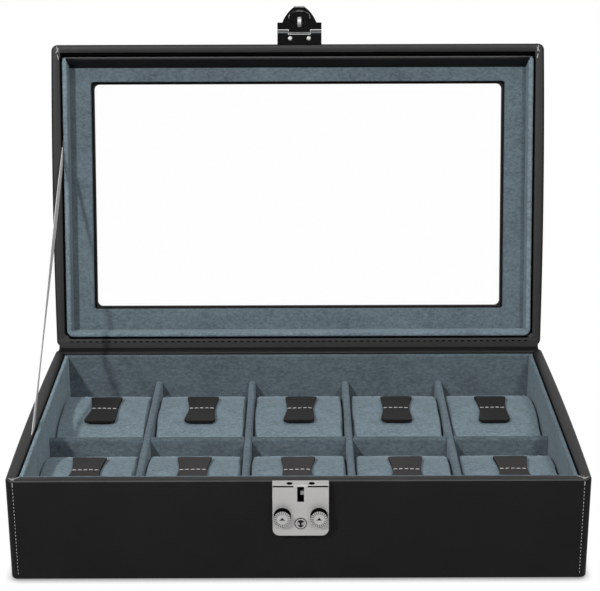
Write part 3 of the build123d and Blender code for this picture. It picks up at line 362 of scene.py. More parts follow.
def window_material(name):
    m = bpy.data.materials.new(name)
    m.use_nodes = True
    t = m.node_tree
    t.nodes.clear()
    out = t.nodes.new("ShaderNodeOutputMaterial")
    clear = t.nodes.new("ShaderNodeBsdfTransparent")
    clear.inputs["Color"].default_value = (0.999, 1.0, 0.9995, 1)
    gloss = t.nodes.new("ShaderNodeBsdfGlossy")
    gloss.inputs["Roughness"].default_value = 0.02
    edge = t.nodes.new("ShaderNodeFresnel")
    edge.inputs["IOR"].default_value = 1.45
    faint = t.nodes.new("ShaderNodeMath")
    faint.operation = "MULTIPLY"
    faint.inputs[1].default_value = 0.2
    t.links.new(edge.outputs["Fac"], faint.inputs[0])
    mix = t.nodes.new("ShaderNodeMixShader")
    t.links.new(faint.outputs[0], mix.inputs["Fac"])
    t.links.new(clear.outputs["BSDF"], mix.inputs[1])
    t.links.new(gloss.outputs["BSDF"], mix.inputs[2])
    t.links.new(mix.outputs["Shader"], out.inputs["Surface"])
    return m


SUEDE = (0.115, 0.150, 0.172)
BLACK = leather("black_leather", (0.0042, 0.0041, 0.0042), 0.52, 0.2)
HINGE_LEATHER = leather("hinge_leather", (0.0048, 0.0047, 0.0049), 0.55, 0.3)
# Lighter copy of the black leather for the rim faces: painted light where the rim is turned to the lamps
RIM_LIT_LEATHER = leather("rim_leather_painted_light", (0.0112, 0.0106, 0.0104), 0.5, 0.35, bump=0.3)
# Still lighter leather for the rounded outer top edge: a painted highlight
EDGE_HIGHLIGHT_LEATHER = leather("edge_leather_painted_highlight", (0.030, 0.029, 0.029), 0.5, 0.35, bump=0.3)
SUEDE_WALL = suede("suede_wall", shade(SUEDE, 0.95), (0.7, 0.7, 1))
# Darker copy of the suede for the rear wall and the cross divider: painted shade
SUEDE_REAR_SHADE = suede("suede_rear_painted_shade", shade(SUEDE, 0.68), (0.6, 1, 1))
# Much lighter copy of the suede for the left liner: painted light
SUEDE_SIDE_LIT = suede("suede_side_painted_light", shade(SUEDE, 1.75), (1, 0.6, 1))
# Lighter copy of the suede for the lid lining: a painted highlight on its lip
SUEDE_LIP_LIT = suede("suede_lip_painted_highlight", shade(SUEDE, 1.2), (0.7, 0.7, 1))
# Darker copy of the suede for the window frame: painted shade
SUEDE_FRAME_SHADE = suede("suede_frame_painted_shade", shade(SUEDE, 0.82), (0.7, 1, 1))
# Lighter copy of the suede for the cushions: painted light
SUEDE_CUSHION_LIT = suede("suede_cushion", shade(SUEDE, 1.33), (0.75, 1, 1), 0.9, 0.4)
TAB_LEATHER = leather("tab_leather", (0.023, 0.0205, 0.0197), 0.6, 0.35, 900.0, 0.2)
# Darker copy of the tab leather for the rear row: painted shade
TAB_REAR_SHADE = leather("tab_leather_rear", (0.0135, 0.0122, 0.0118), 0.6, 0.3, 900.0, 0.2)
# Very dark leather for the cut edges of the tabs: painted shade
TAB_EDGE_SHADE = plain("tab_edge", (0.006, 0.0055, 0.0055), 0.9, 900.0, 0.3)
THREAD = plain("white_thread", (0.40, 0.395, 0.39), 0.8, 3000.0, 0.2)
THREAD_GREY = plain("grey_thread", (0.34, 0.335, 0.33), 0.8, 3000.0, 0.2)
# Light grey for the thin piping at the front of the lid recess: a painted highlight along its edge
PIPING_HIGHLIGHT = plain("piping_painted_highlight", (0.075, 0.078, 0.078), 0.8, 1200.0, 0.2)
FELT = plain("black_felt", (0.012, 0.012, 0.013), 1.0, 1500.0, 0.6)
BOARD = plain("fibreboard", (0.30, 0.20, 0.12), 0.9, 700.0, 0.4)
CARD = plain("grey_card", (0.25, 0.23, 0.20), 0.9, 700.0, 0.2)
RIBBON = woven("grey_ribbon", (0.62, 0.615, 0.60))
GLASS = window_material("window_glass_clear")
NICKEL = metal("satin_nickel", (0.52, 0.515, 0.505), 0.42, 0.12, 0.55)
# Half-metallic nickel for the knob faces, also used on the hasp's studs and staple as a painted highlight
NICKEL_LIGHT = metal("knurled_face_and_painted_highlight", (0.50, 0.50, 0.49), 0.38, 0.0, 0.5)
# Dark metal for every other face round the knurl of the knobs: painted shade in its grooves
NICKEL_GROOVE_SHADE = metal("knurled_groove_painted_shade", (0.13, 0.13, 0.13), 0.4, 0.0, 0.5)
# Matt black: the colour of the knob marks and the hinge thread, and painted shade in grooves, creases,
# holes and on the knob sides
MATT_BLACK_AND_SHADE = plain("matt_black_and_painted_shade", (0.0015, 0.0015, 0.0015), 1.0, 900.0, 0.1, specular=0.0)
# Dark grey for the ring round the key plug and for the keyway: painted shade
KEY_SHADE = plain("key_painted_shade", (0.006, 0.006, 0.006), 0.45, 900.0, 0.1)
CHROME = metal("polished_chrome", (0.44, 0.44, 0.45), 0.08)
# Dark metal for the sides of the model's knobs and the hasp's knuckle faces: painted shade
DARK_METAL_SHADE = metal("dark_metal_painted_shade", (0.10, 0.10, 0.10), 0.25)
PLUG = metal("plug_chrome", (0.55, 0.55, 0.54), 0.2)
STEEL = metal("plain_steel", (0.45, 0.45, 0.45), 0.35)

NODE_MATERIALS = {
    "base_felt": FELT, "glass_surround": CARD, "window_glass": GLASS,
    "base_leather": BLACK, "lid_leather": BLACK,
    "hinge_leather_inner": BLACK, "hinge_leather_outer": BLACK,
    "window_frame": SUEDE_FRAME_SHADE, "lid_liner": SUEDE_WALL, "stay_ribbon": RIBBON,
    "lock_case": NICKEL, "lock_cylinder": NICKEL, "lock_plug": PLUG,
    "lock_knob_left": DARK_METAL_SHADE, "lock_knob_right": DARK_METAL_SHADE,
    "lock_slider": STEEL, "lock_spring": STEEL, "lock_screws": STEEL,
    # The rear wall and cross divider take the darker suede as painted shade, the left liner the lighter
    # suede as painted light
    "liner_rear": SUEDE_REAR_SHADE, "cross_divider": SUEDE_REAR_SHADE, "liner_left": SUEDE_SIDE_LIT,
    # The hasp's studs and staple take the lighter nickel as a painted highlight
    "hasp_studs": NICKEL_LIGHT, "hasp_staple": NICKEL_LIGHT,
}
for name, ob in NODES.items():
    if name in NODE_MATERIALS:
        mat = NODE_MATERIALS[name]
    elif name.startswith("tab_"):
        mat = TAB_LEATHER
    elif name.startswith("cushion_"):
        mat = SUEDE_CUSHION_LIT
    elif name.startswith("hasp_"):
        mat = CHROME
    elif name.endswith("_board") or name in ("lid_walls", "lid_top_panel"):
        mat = BOARD
    else:
        mat = SUEDE_WALL
    ob.data.materials.clear()
    ob.data.materials.append(mat)

# Leather of the base
UNDERLAP, FOOT_FOLD, TOP_FOLD = 0.018, 0.0010, 0.0009
CORE_TOP, TURN_FOOT = 0.062, 0.0492
RIM_CREST = BASE_TOP + 0.0001
profile = inset(
    [(UNDERLAP, LEATHER), (INNER_FACE, LEATHER)]
    + arc(FOOT_FOLD, LEATHER + FOOT_FOLD, FOOT_FOLD, 270, 180, 3)
    + arc(TOP_FOLD, BASE_TOP - TOP_FOLD, TOP_FOLD, 180, 90, 5)
    + [(0.0030, RIM_CREST), (0.0045, RIM_CREST)]
    + arc(TURN_IN, BASE_TOP - LEATHER, LEATHER, 90, 0, 3)
    + [(TURN_IN + LEATHER, TURN_FOOT), (TURN_IN, TURN_FOOT), (TURN_IN, CORE_TOP), (INNER_FACE, CORE_TOP),
       (INNER_FACE, 2 * LEATHER), (UNDERLAP, 2 * LEATHER)])
base_cover = sweep("base_leather_cover", profile, BLACK, side=12)
bow(base_cover, BASE_BOW)


# Rim faces turned up, which get the lighter leather as painted light
def on_rim_painted_light(c, n):
    return c.z > BASE_TOP - 0.0003 and n.z > 0.6


# Faces of the rounded outer top edge, which get a painted highlight
def on_outer_edge_painted_highlight(c, n):
    outside = max(abs(c.x) - HALF_W, abs(c.y) - HALF_D)
    return c.z > BASE_TOP - LEATHER and n.z > 0.2 and outside > -TOP_FOLD


# Painted light on the rim and a painted highlight along the outer top edge
paint(base_cover, ((RIM_LIT_LEATHER, on_rim_painted_light), (EDGE_HIGHLIGHT_LEATHER, on_outer_edge_painted_highlight)))
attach(base_cover, "base")
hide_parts("base_leather")

# Leather of the lid
def lid_inset(points):
    """Profile points given as (inset, depth from the rim)."""
    return [(HALF_W - d, HALF_D - d, max(CORNER - d, LEAST_LID_RADIUS), RIM + h) for d, h in points]


def lid_ring(points):
    """Profile points given as (inset, corner radius, depth from the rim)."""
    return [(HALF_W - d, HALF_D - d, r, RIM + h) for d, r, h in points]


def lid_window(points):
    """Profile points given as (distance outside the window opening, depth from the rim)."""
    return [(WINDOW_HALF_W + d, WINDOW_HALF_D + d, WINDOW_RADIUS + d, RIM + h) for d, h in points]


WINDOW_GRIP, GRIP_LOW, GRIP_HIGH = 0.005, 0.0174, 0.018
TURN_DEPTH = 0.0129
profile = (
    lid_inset(arc(LID_EDGE, LID_EDGE, LID_EDGE, 270, 180, 5)
              + arc(LID_EDGE, LID_THICK - LID_EDGE, LID_EDGE, 180, 90, 5))
    + lid_window([(INNER_FACE, LID_THICK)] + arc(LEATHER, LID_THICK - LEATHER, LEATHER, 90, 180, 3)
                 + [(0.0, GRIP_LOW), (WINDOW_GRIP, GRIP_LOW), (WINDOW_GRIP, GRIP_HIGH),
                    (LEATHER, GRIP_HIGH), (LEATHER, LID_THICK - INNER_FACE)])
    + lid_inset([(INNER_FACE, LID_THICK - INNER_FACE), (INNER_FACE, INNER_FACE)])
    + lid_ring([(TURN_IN, 0.0064, INNER_FACE), (TURN_IN, 0.0064, TURN_DEPTH),
                (TURN_IN + LEATHER, 0.0056, TURN_DEPTH), (TURN_IN + LEATHER, 0.0056, LEATHER),
                (0.0057, 0.0054, 0.0003), (TURN_IN, 0.0050, 0.0)])
)
lid_cover = sweep("lid_leather_cover", profile, BLACK, (0, LID_MIDDLE), LID, side=12)
bow(lid_cover, LID_BOW, LID_MIDDLE, LID)


# Lid rim faces turned into the box, which get the lighter leather as painted light
def on_lid_rim_painted_light(c, n):
    return n.dot(INTO_BOX) > 0.6 and (LID.inverted() @ c).z < 0.003


paint(lid_cover, ((RIM_LIT_LEATHER, on_lid_rim_painted_light),))
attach(lid_cover, "lid")
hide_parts("lid_leather")

# Suede lining of the lid
LIP, LIP_DEPTH, LINING_RADIUS, LINING_INNER_RADIUS = 0.0013, 0.001, 0.005, 0.0014
profile = lid_ring(
    [(LINING_OUT, LINING_RADIUS, LID_RECESS)]
    + [(d, LINING_RADIUS - (d - LINING_OUT), h)
       for d, h in arc(LINING_OUT + LIP, LIP_DEPTH + LIP, LIP, 180, 270, 4)]
    + [(d, max(LINING_RADIUS - (d - LINING_OUT), INNER_FACE), h)
       for d, h in arc(LINING_IN - LIP, LIP_DEPTH + LIP, LIP, 270, 360, 4)]
    + [(LINING_IN, LINING_INNER_RADIUS, LID_RECESS)])
# The lining takes the lighter suede: a painted highlight on its lip
lid_lining = sweep("lid_lining_suede", profile, SUEDE_LIP_LIT, (0, LID_MIDDLE), LID, side=10)
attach(lid_lining, "lid")
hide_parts("lid_liner")

FRAME_EDGE, FRAME_BACK, FRAME_STEP = 0.0007, 0.0154, 0.0016
profile = (
    lid_ring([(LINING_OUT, LINING_RADIUS, FRAME_BACK), (LINING_OUT, LINING_RADIUS, LID_RECESS)])
    + [(WINDOW_HALF_W + FRAME_STEP + d, WINDOW_HALF_D + FRAME_STEP + d,
        WINDOW_RADIUS - FRAME_STEP + d, RIM + h)
       for d, h in [(0.02, LID_RECESS), (0.008, LID_RECESS - 0.00005)]
       + [(a, LID_RECESS + b) for a, b in arc(FRAME_EDGE, FRAME_EDGE, FRAME_EDGE, 270, 180, 3)]
       + [(0.0, FRAME_BACK)]]
)
window_frame = sweep("window_frame_suede", profile, SUEDE_FRAME_SHADE, (0, LID_MIDDLE), LID, side=10)
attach(window_frame, "lid")
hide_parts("window_frame")

# Band at the front of the lid recess: black leather on the front wall, sloped down over the frame where
# the wall's shadow falls, so that part is painted shade
LID_STRIP_PARTS = 24


def lid_strip(name, profile, half, mat):
    """A closed outline of (inset from the front of the lid, depth) points run along X."""
    ob = strip(name, [(0, 0)] * len(profile), half, LID_STRIP_PARTS, mat)
    n = len(profile)
    for k, v in enumerate(ob.data.vertices):
        d, h = profile[k % n]
        v.co = LID @ Vector((v.co.x, LID_MIDDLE - HALF_D + d, RIM + h))
    ob.data.update()
    return ob


band = lid_strip("lid_front_band_and_shade", [
    (0.0088, 0.0008), (0.0090, 0.0003), (0.0098, 0.0003), (0.0108, 0.0009), (0.0142, 0.0120),
    (0.0150, 0.0129), (0.0142, 0.0130), (0.0100, 0.0030), (0.0088, 0.0024)], 0.1553, BLACK)
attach(band, "lid")
# Thin piping along the lip, coloured light grey as a painted highlight
piping = lid_strip("lid_front_piping_highlight", [
    (0.0082, 0.0003), (0.0086, 0.0001), (0.0090, 0.0003), (0.0092, 0.0008), (0.0082, 0.0008)],
    0.1556, PIPING_HIGHLIGHT)
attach(piping, "lid")
# Matt black sheets in the grooves between the rim leather and the lining: painted shade
groove = lid_strip("lid_front_groove_shade", [
    (TURN_IN, -0.00004), (0.0081, -0.00004), (0.0081, 0.0005), (TURN_IN, 0.0005)], 0.1590, MATT_BLACK_AND_SHADE)
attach(groove, "lid")
profile = lid_inset([(0.0056, 0.00015), (LINING_OUT, 0.00015), (LINING_OUT, LEATHER), (0.0056, LEATHER)])
side_groove = sweep("lid_side_groove_shade", profile, MATT_BLACK_AND_SHADE, (0, LID_MIDDLE), LID, side=4)
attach(side_groove, "lid")

# Leather hinge
HINGE_PARTS = 16


def lid_yz(y, z):
    """A point of the lid's own frame as (y, z) of the open box."""
    p = LID @ Vector((0, y, z))
    return (p.y, p.z)


inner = [(0.0964, BASE_TOP), (0.0965, BASE_TOP + 0.00035), (0.0968, BASE_TOP + 0.0005),
         (0.0995, BASE_TOP + 0.00055), (0.1013, BASE_TOP + 0.0006), (0.1026, BASE_TOP + 0.0010),
         lid_yz(-0.0024, RIM - 0.0008), lid_yz(-0.0040, RIM - 0.00055), lid_yz(-0.0062, RIM - 0.0005),
         lid_yz(-0.0065, RIM - 0.00035), lid_yz(-0.0066, RIM), lid_yz(-0.0040, RIM),
         lid_yz(-0.0020, RIM), (0.1022, BASE_TOP), (0.0995, BASE_TOP)]
hinge_inner = strip("hinge_strip_inner", inner, 0.1632, HINGE_PARTS, HINGE_LEATHER)
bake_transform(hinge_inner)
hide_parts("hinge_leather_inner")

outer = [(0.102, 0.0510), (0.102, 0.0618), lid_yz(-0.001, RIM + 0.0012), lid_yz(-0.001, RIM + 0.012),
         lid_yz(-0.0002, RIM + 0.012), lid_yz(0.0, RIM + 0.0112), lid_yz(0.0, RIM + 0.0020),
         (0.1034, 0.0626), (0.1030, 0.0603), (0.103, 0.0518), (0.1028, 0.0510)]
hinge_outer = strip("hinge_strip_outer", outer, 0.161, HINGE_PARTS, BLACK)
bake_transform(hinge_outer)
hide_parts("hinge_leather_outer")

# Ribbon stay
RIBBON_X, RIBBON_LEAN = -0.1587, 0.0010
RIBBON_REACH_LOW, RIBBON_REACH_HIGH = 0.136, 0.131
RIBBON_HALF, RIBBON_HALF_THICK, TUCK = 0.0035, 0.000175, 0.012
RIBBON_STEPS, TWIST = 48, math.radians(5)
SIDEWAYS = Vector((1, 0, 0))
low = Vector((RIBBON_X - RIBBON_LEAN, HINGE.y - RIBBON_REACH_LOW, BASE_TOP))
high = LID @ Vector((RIBBON_X, -RIBBON_REACH_HIGH, RIM))
run = high - low
direction = run.normalized()
across = SIDEWAYS.cross(direction).normalized()
outline = ((-1, -1), (0, -1.15), (1, -1), (1, 1), (0, 1.15), (-1, 1))
n, rows, verts = len(outline), RIBBON_STEPS + 1, []
for i in range(rows):
    s = -TUCK + (run.length + 2 * TUCK) * i / RIBBON_STEPS
    t = max(0.0, min(1.0, s / run.length))
    twist = TWIST * math.sin(math.pi * 2 * t) * (1 if 0 < t < 1 else 0)
    side = (across * math.cos(twist) + SIDEWAYS * math.sin(twist)).normalized()
    thick = side.cross(direction).normalized()
    centre = low + direction * s
    for a, b in outline:
        verts.append(centre + side * (a * RIBBON_HALF) + thick * (b * RIBBON_HALF_THICK))
ribbon = mesh_object("stay_ribbon_woven", verts, ring_faces(rows, n) + end_faces(rows, n), RIBBON, 50)
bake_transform(ribbon)
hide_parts("stay_ribbon")

# Lock
CASE_Y = -HALF_D - 0.0066
KNOB_SPREAD, KNOB_Z, KNOB_TEETH = 0.0103, BASE_TOP - 0.0184, 22
KNOB_FACE = 0.0055
KEY_Z, PLUG_Y = BASE_TOP - 0.0234, CASE_Y - 0.0003
STUD_SPREAD, STUD_Y = 0.0062, -HALF_D - 0.0038
HASP_AXIS_Z, KNUCKLE_REACH = 0.270728, 0.0034
SPRING_FIXED_Z = 0.051
MARK, KEY_MARK = 0.00004, 0.00006
SLOT_HALF, SLOT_FOOT, SLOT_HEAD, STUD_HOLE = 0.0023, BASE_TOP - 0.0135, BASE_TOP - 0.0006, 0.0018


def turned(name, centre, rings, mats, teeth, per=4):
    """A turned piece facing the front: rings of (radius, out, radial tooth, axial tooth, material)."""
    n, rows = teeth * per, len(rings)
    verts, slots = [], []
    for radius, out, tooth, rise, _ in rings:
        for i in range(n):
            a = 2 * math.pi * i / n
            w = 0.5 + 0.5 * math.cos(teeth * a)
            q = radius - tooth * w
            verts.append((centre[0] + q * math.cos(a), centre[1] - out - rise * w,
                          centre[2] + q * math.sin(a)))
    for *_, slot in rings[1:]:
        slots += [slot[(i % per) * 2 // per] if isinstance(slot, tuple) else slot for i in range(n)]
    slots += [0, rings[-1][4]]
    ob = mesh_object(name, verts, ring_faces(rows, n) + end_faces(rows, n), mats[0], 35)
    for m in mats[1:]:
        ob.data.materials.append(m)
    for face, slot in zip(ob.data.polygons, slots):
        face.material_index = slot
    return ob


# Knobs: matt black sides and back as painted shade, and the knurl's faces in light and dark metal, the
# dark ones painted shade
for side, sx in (("left", -1), ("right", 1)):
    knob = turned(f"lock_knob_{side}_knurled", (LOCK_X + sx * KNOB_SPREAD, CASE_Y, KNOB_Z), (
        (0.0012, -0.0028, 0, 0, 0), (0.0015, -0.0013, 0, 0, 0), (0.0015, 0.00015, 0, 0, 0),
        (0.0046, 0.00015, 0, 0, 0), (0.0049, 0.0004, 0.00012, 0, 0), (0.0049, 0.0050, 0.00012, 0, 0),
        (0.0047, 0.0052, 0.0001, 0.0001, (1, 2)), (0.0030, 0.0054, 0, 0.0001, (1, 2)),
        (0.0012, KNOB_FACE, 0, 0, 1)), (MATT_BLACK_AND_SHADE, NICKEL_LIGHT, NICKEL_GROOVE_SHADE), KNOB_TEETH)
    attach(knob, "slider")
    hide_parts(f"lock_knob_{side}")


def front_plate(name, outline, y, thick, mat, body):
    """A thin plate with an outline of (x, z) points, standing proud of the front."""
    n = len(outline)
    verts = [(x, y, z) for x, z in outline] + [(x, y - thick, z) for x, z in outline]
    faces = [tuple(range(n)), tuple(n + i for i in range(n))[::-1]]
    faces += [(i, n + i, n + (i + 1) % n, (i + 1) % n) for i in range(n)]
    ob = mesh_object(name, verts, faces, mat, 0)
    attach(ob, body)


# Matt black strips along the crease under the ledge of the lock case: painted shade
for side, x0, x1 in (("left", -0.0156, -0.0039), ("right", 0.0039, 0.0154)):
    crease = [(LOCK_X + x, BASE_TOP - drop) for x, drop in
              ((x0, 0.00105), (x1, 0.00105), (x1, 0.0001), (x0, 0.0001))]
    front_plate(f"lock_crease_shade_{side}", crease, CASE_Y, MARK, MATT_BLACK_AND_SHADE, "base")
for side, sx in (("left", -1), ("right", 1)):
    arrow = [(LOCK_X + sx * KNOB_SPREAD + a, KNOB_Z + b) for a, b in
             ((-0.0018, -0.0004), (0.0018, -0.0004), (0.0006, 0.0004), (0, 0.0015), (-0.0006, 0.0004))]
    front_plate(f"lock_knob_mark_{side}", arrow, CASE_Y - KNOB_FACE - 0.00002, MARK, MATT_BLACK_AND_SHADE,
                "slider")

# Faces beside the hinge line of the hasp get a dark metal: painted shade that dims their highlights
for name in ("hasp_plate", "hasp_tongue"):
    leaf = NODES[name]
    leaf.data.materials.append(DARK_METAL_SHADE)
    for face in leaf.data.polygons:
        height = (leaf.matrix_world @ face.center).z
        if face.normal.z > 0.25 and abs(height - HASP_AXIS_Z) < KNUCKLE_REACH:
            face.material_index = 1

# The return spring, redrawn from the coil's points and faces, with its two ends sorted by nearness to the
# fixed end
coil = NODES["lock_spring"]
points = [coil.matrix_world @ v.co for v in coil.data.vertices]
faces = [tuple(face.vertices) for face in coil.data.polygons]
spring = mesh_object("lock_spring_coil", points, faces, STEEL)
ends = [min(q.z for q in points), max(q.z for q in points)]
ends.sort(key=lambda z: abs(z - SPRING_FIXED_Z))
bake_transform(spring)
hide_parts("lock_spring")

# Inner faces of the slot and of the stud holes get matt black: painted shade in these recesses
case = NODES["lock_case"]
case.data.materials.append(MATT_BLACK_AND_SHADE)
case_top = max((case.matrix_world @ v.co).z for v in case.data.vertices)
for face in case.data.polygons:
    c = case.matrix_world @ face.center
    off = abs(c.x - LOCK_X)
    in_slot = off < SLOT_HALF and SLOT_FOOT < c.z < SLOT_HEAD and abs(face.normal.y) < 0.5
    in_hole = math.hypot(off - STUD_SPREAD, c.y - STUD_Y) < STUD_HOLE and c.z < case_top - 0.0002
    if in_slot or in_hole:
        face.material_index = 1

# A dark ring round the key plug and two dark shapes for the keyway: painted shade in the gap and in the
# keyway
RING_IN, RING_OUT = 0.0030, 0.00345
ring = turned("lock_key_ring", (LOCK_X, CASE_Y, KEY_Z), (
    (RING_IN, 0.0002, 0, 0, 0), (RING_OUT, 0.0002, 0, 0, 0), (RING_OUT, 0.00045, 0, 0, 0),
    (RING_IN, 0.00045, 0, 0, 0), (RING_IN, 0.0002, 0, 0, 0)), (KEY_SHADE,), 24, 2)
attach(ring, "base")
top_arc = [(LOCK_X + 0.0021 * math.cos(a), KEY_Z + 0.0006 + 0.0020 * math.sin(a))
           for a in [math.radians(10 + 16 * i) for i in range(11)]]
low_arc = [(LOCK_X + 0.0014 * math.cos(a), KEY_Z + 0.0012 - 0.0007 * math.sin(a))
           for a in [math.radians(170 - 16 * i) for i in range(11)]]
front_plate("lock_key_arc", top_arc + low_arc, PLUG_Y, KEY_MARK, KEY_SHADE, "key")
wedge = [(LOCK_X + a, KEY_Z + b) for a, b in
         ((-0.0016, -0.0009), (-0.0004, -0.0028), (0.0004, -0.0028), (0.0016, -0.0009), (0, -0.0013))]
front_plate("lock_key_wedge", wedge, PLUG_Y, KEY_MARK, KEY_SHADE, "key")

# Stitching
STITCH_INSET = 0.0043


def run_of(a, b, pitch, share, normal):
    """A row of threads from a to b, each a share of the pitch long."""
    a, b = Vector(a), Vector(b)
    length = (b - a).length
    count = int(length / pitch)
    d = (b - a).normalized()
    spare = (length - count * pitch) / 2
    out = []
    for i in range(count):
        s = a + d * (spare + pitch * i + pitch * (1 - share) / 2)
        out.append((s, s + d * pitch * share, normal))
    return out


runs, cross_runs = [], []
for sx in (-1, 1):
    x, front = sx * (HALF_W - STITCH_INSET), -HALF_D
    runs += run_of((x, front, 0.003), (x, front, BASE_TOP - 0.0018), 0.0022, 0.62, (0, -1, 0))
    runs += run_of((x, HALF_D, 0.003), (x, HALF_D, 0.050), 0.0030, 0.72, (0, 1, 0))
    runs.append(((x, front + 0.0003, BASE_TOP - 0.0009), (x, front + 0.0022, RIM_CREST), (0, -0.7, 0.7)))
    runs.append(((x, front + 0.0026, RIM_CREST), (x, front + 0.0048, RIM_CREST), (0, 0, 1)))
    for a, b in (((-0.0038, 0.0050), (0.0010, 0.0009)), ((0.0030, 0.0036), (-0.0010, 0.0009))):
        ends = [(x + sx * d, front + e, RIM_CREST) for d, e in (a, b)]
        cross_runs.append((*ends, (0, 0, 1)))
    ends = [(x, front - 0.00005, BASE_TOP - drop) for drop in (0.0038, 0.0010)]
    cross_runs.append((*ends, (0, -1, 0)))
base_thread = stitches("base_corner_stitches", runs, THREAD_GREY, 0.00038)
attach(base_thread, "base")
cross_thread = stitches("base_corner_crosses", cross_runs, THREAD_GREY, 0.00055)
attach(cross_thread, "base")

runs = []
for sx in (-1, 1):
    for sy in (-1, 1):
        x, y = sx * (HALF_W - STITCH_INSET), LID_MIDDLE + sy * HALF_D
        ends = [LID @ Vector((x, y, RIM + depth)) for depth in (LID_EDGE, LID_THICK - LID_EDGE)]
        runs += run_of(*ends, 0.0030, 0.72, LID.to_3x3() @ Vector((0, sy, 0)))
lid_thread = stitches("lid_corner_stitches", runs, THREAD_GREY, 0.00042)
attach(lid_thread, "lid")

# Each thread as its two ends, given as (inset from the side, inset from the front)
runs = []
for sx in (-1, 1):
    for a, b in (((0.0036, 0.0008), (0.0048, 0.0054)), ((0.0040, 0.0064), (0.0048, 0.0100)),
                 ((0.0050, 0.0020), (0.0030, 0.0056))):
        ends = [LID @ Vector((sx * (HALF_W - d), LID_MIDDLE - HALF_D + e, RIM)) for d, e in (a, b)]
        runs.append((*ends, INTO_BOX))
lid_cross_thread = stitches("lid_corner_crosses", runs, THREAD_GREY, 0.0006, flat=0.5)
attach(lid_cross_thread, "lid")

a = Vector((-0.157, *lid_yz(-0.0046, RIM - 0.00052)))
b = Vector((0.157, a.y, a.z))
runs = run_of(a, b, 0.0043, 0.6, INTO_BOX)
hinge_thread = stitches("hinge_stitches", runs, MATT_BLACK_AND_SHADE, 0.0008, flat=0.25)
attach(hinge_thread, "lid")

# Cushions
CUSHION_W, CUSHION_L = 0.0559, 0.087
ARCH_FOOT, ARCH_RISE, ARCH_POWER = 0.0292 - CUSHION_FOOT, 0.0140, 0.68
CUSHION_EDGE, CUSHION_CORNER, CUSHION_UNDERCUT = 0.0015, 0.0018, 0.0028
SKIN, SKIN_SCALE = 0.0006, 45
PIN_HEIGHT, SETTLE_CAP, SETTLE_FRAMES = 0.0045, 0.0009, 20


def crown(v):
    """Height of a cushion's top, from -1 at its front to 1 at its back."""
    return ARCH_FOOT + ARCH_RISE * max(0.0, 1 - v * v) ** ARCH_POWER


def stations(n, edge):
    """Even steps from -1 to 1 with two closer ones near each end."""
    inner = 1 - 2.4 * edge
    even = [-inner * (1 - 2 * i / n) for i in range(1, n)]
    return [-1.0, edge - 1, -inner] + even + [inner, 1 - edge, 1.0]


def cushion_start(seed):
    """A block arched from front to back, with flat sides, round edges and an uneven skin."""
    rnd = random.Random(seed)
    shift = Vector((rnd.uniform(0, 9), rnd.uniform(0, 9), rnd.uniform(0, 9)))
    us, vs = stations(12, 0.036), [-math.cos(math.pi * i / 22) for i in range(23)]
    hs = [0.0, 0.05, 0.2, 0.4, 0.6, 0.8, 0.915, 0.965, 1.0]
    nx, ny, nz = len(us) - 1, len(vs) - 1, len(hs) - 1
    verts, faces, index = [], [], {}
    edge, corner = CUSHION_EDGE, CUSHION_CORNER
    flat_x, flat_y = CUSHION_W / 2 - corner, CUSHION_L / 2 - corner

    def vert(i, j, k):
        key = (i, j, k)
        if key not in index:
            u, v, h = us[i], vs[j], hs[k]
            top = crown(v)
            x, y, z = abs(u) * CUSHION_W / 2, abs(v) * CUSHION_L / 2, h * top
            cx, cy = max(x - flat_x, 0), max(y - flat_y, 0)
            d = math.hypot(cx, cy)
            if d > corner and cy > 0:
                x, y = min(x, flat_x) + cx * corner / d, min(y, flat_y) + cy * corner / d
            cx, cz = max(x - (CUSHION_W / 2 - edge), 0), max(z - (top - edge), 0)
            d = math.hypot(cx, cz)
            if d > edge and cz > 0:
                x, z = min(x, CUSHION_W / 2 - edge) + cx * edge / d, min(z, top - edge) + cz * edge / d
            low = max(CUSHION_UNDERCUT - z, 0) * 0.5
            if abs(u) > 0.98:
                x -= low
            if abs(v) > 0.98:
                y -= low
            x, y = math.copysign(x, u), math.copysign(y, v)
            n = noise.noise(Vector((x, y, z)) * SKIN_SCALE + shift) * SKIN * min(1, z / 0.01)
            verts.append(Vector((x + math.copysign(n, x) * abs(u), y, z + n * 0.6)))
            index[key] = len(verts) - 1
        return index[key]

    for i in range(nx):
        for j in range(ny):
            faces.append((vert(i, j, nz), vert(i + 1, j, nz), vert(i + 1, j + 1, nz), vert(i, j + 1, nz)))
            faces.append((vert(i, j, 0), vert(i, j + 1, 0), vert(i + 1, j + 1, 0), vert(i + 1, j, 0)))
    for k in range(nz):
        for i in range(nx):
            faces.append((vert(i, 0, k), vert(i + 1, 0, k), vert(i + 1, 0, k + 1), vert(i, 0, k + 1)))
            faces.append((vert(i, ny, k), vert(i, ny, k + 1), vert(i + 1, ny, k + 1), vert(i + 1, ny, k)))
        for j in range(ny):
            faces.append((vert(0, j, k), vert(0, j, k + 1), vert(0, j + 1, k + 1), vert(0, j + 1, k)))
            faces.append((vert(nx, j, k), vert(nx, j + 1, k), vert(nx, j + 1, k + 1), vert(nx, j, k + 1)))
    return verts, faces


cushions = {}
for r, (row, y) in enumerate(ROW_YS.items()):
    for c, x in enumerate(BAY_XS, 1):
        name = f"cushion_{row}_{c}"
        verts, faces = cushion_start(17 * r + c)
        ob = mesh_object(name + "_suede", verts, faces, SUEDE_CUSHION_LIT, 0)
        ob.data.shade_smooth()
        ob.location = (x, y, CUSHION_FOOT)
        cushions[name] = ob


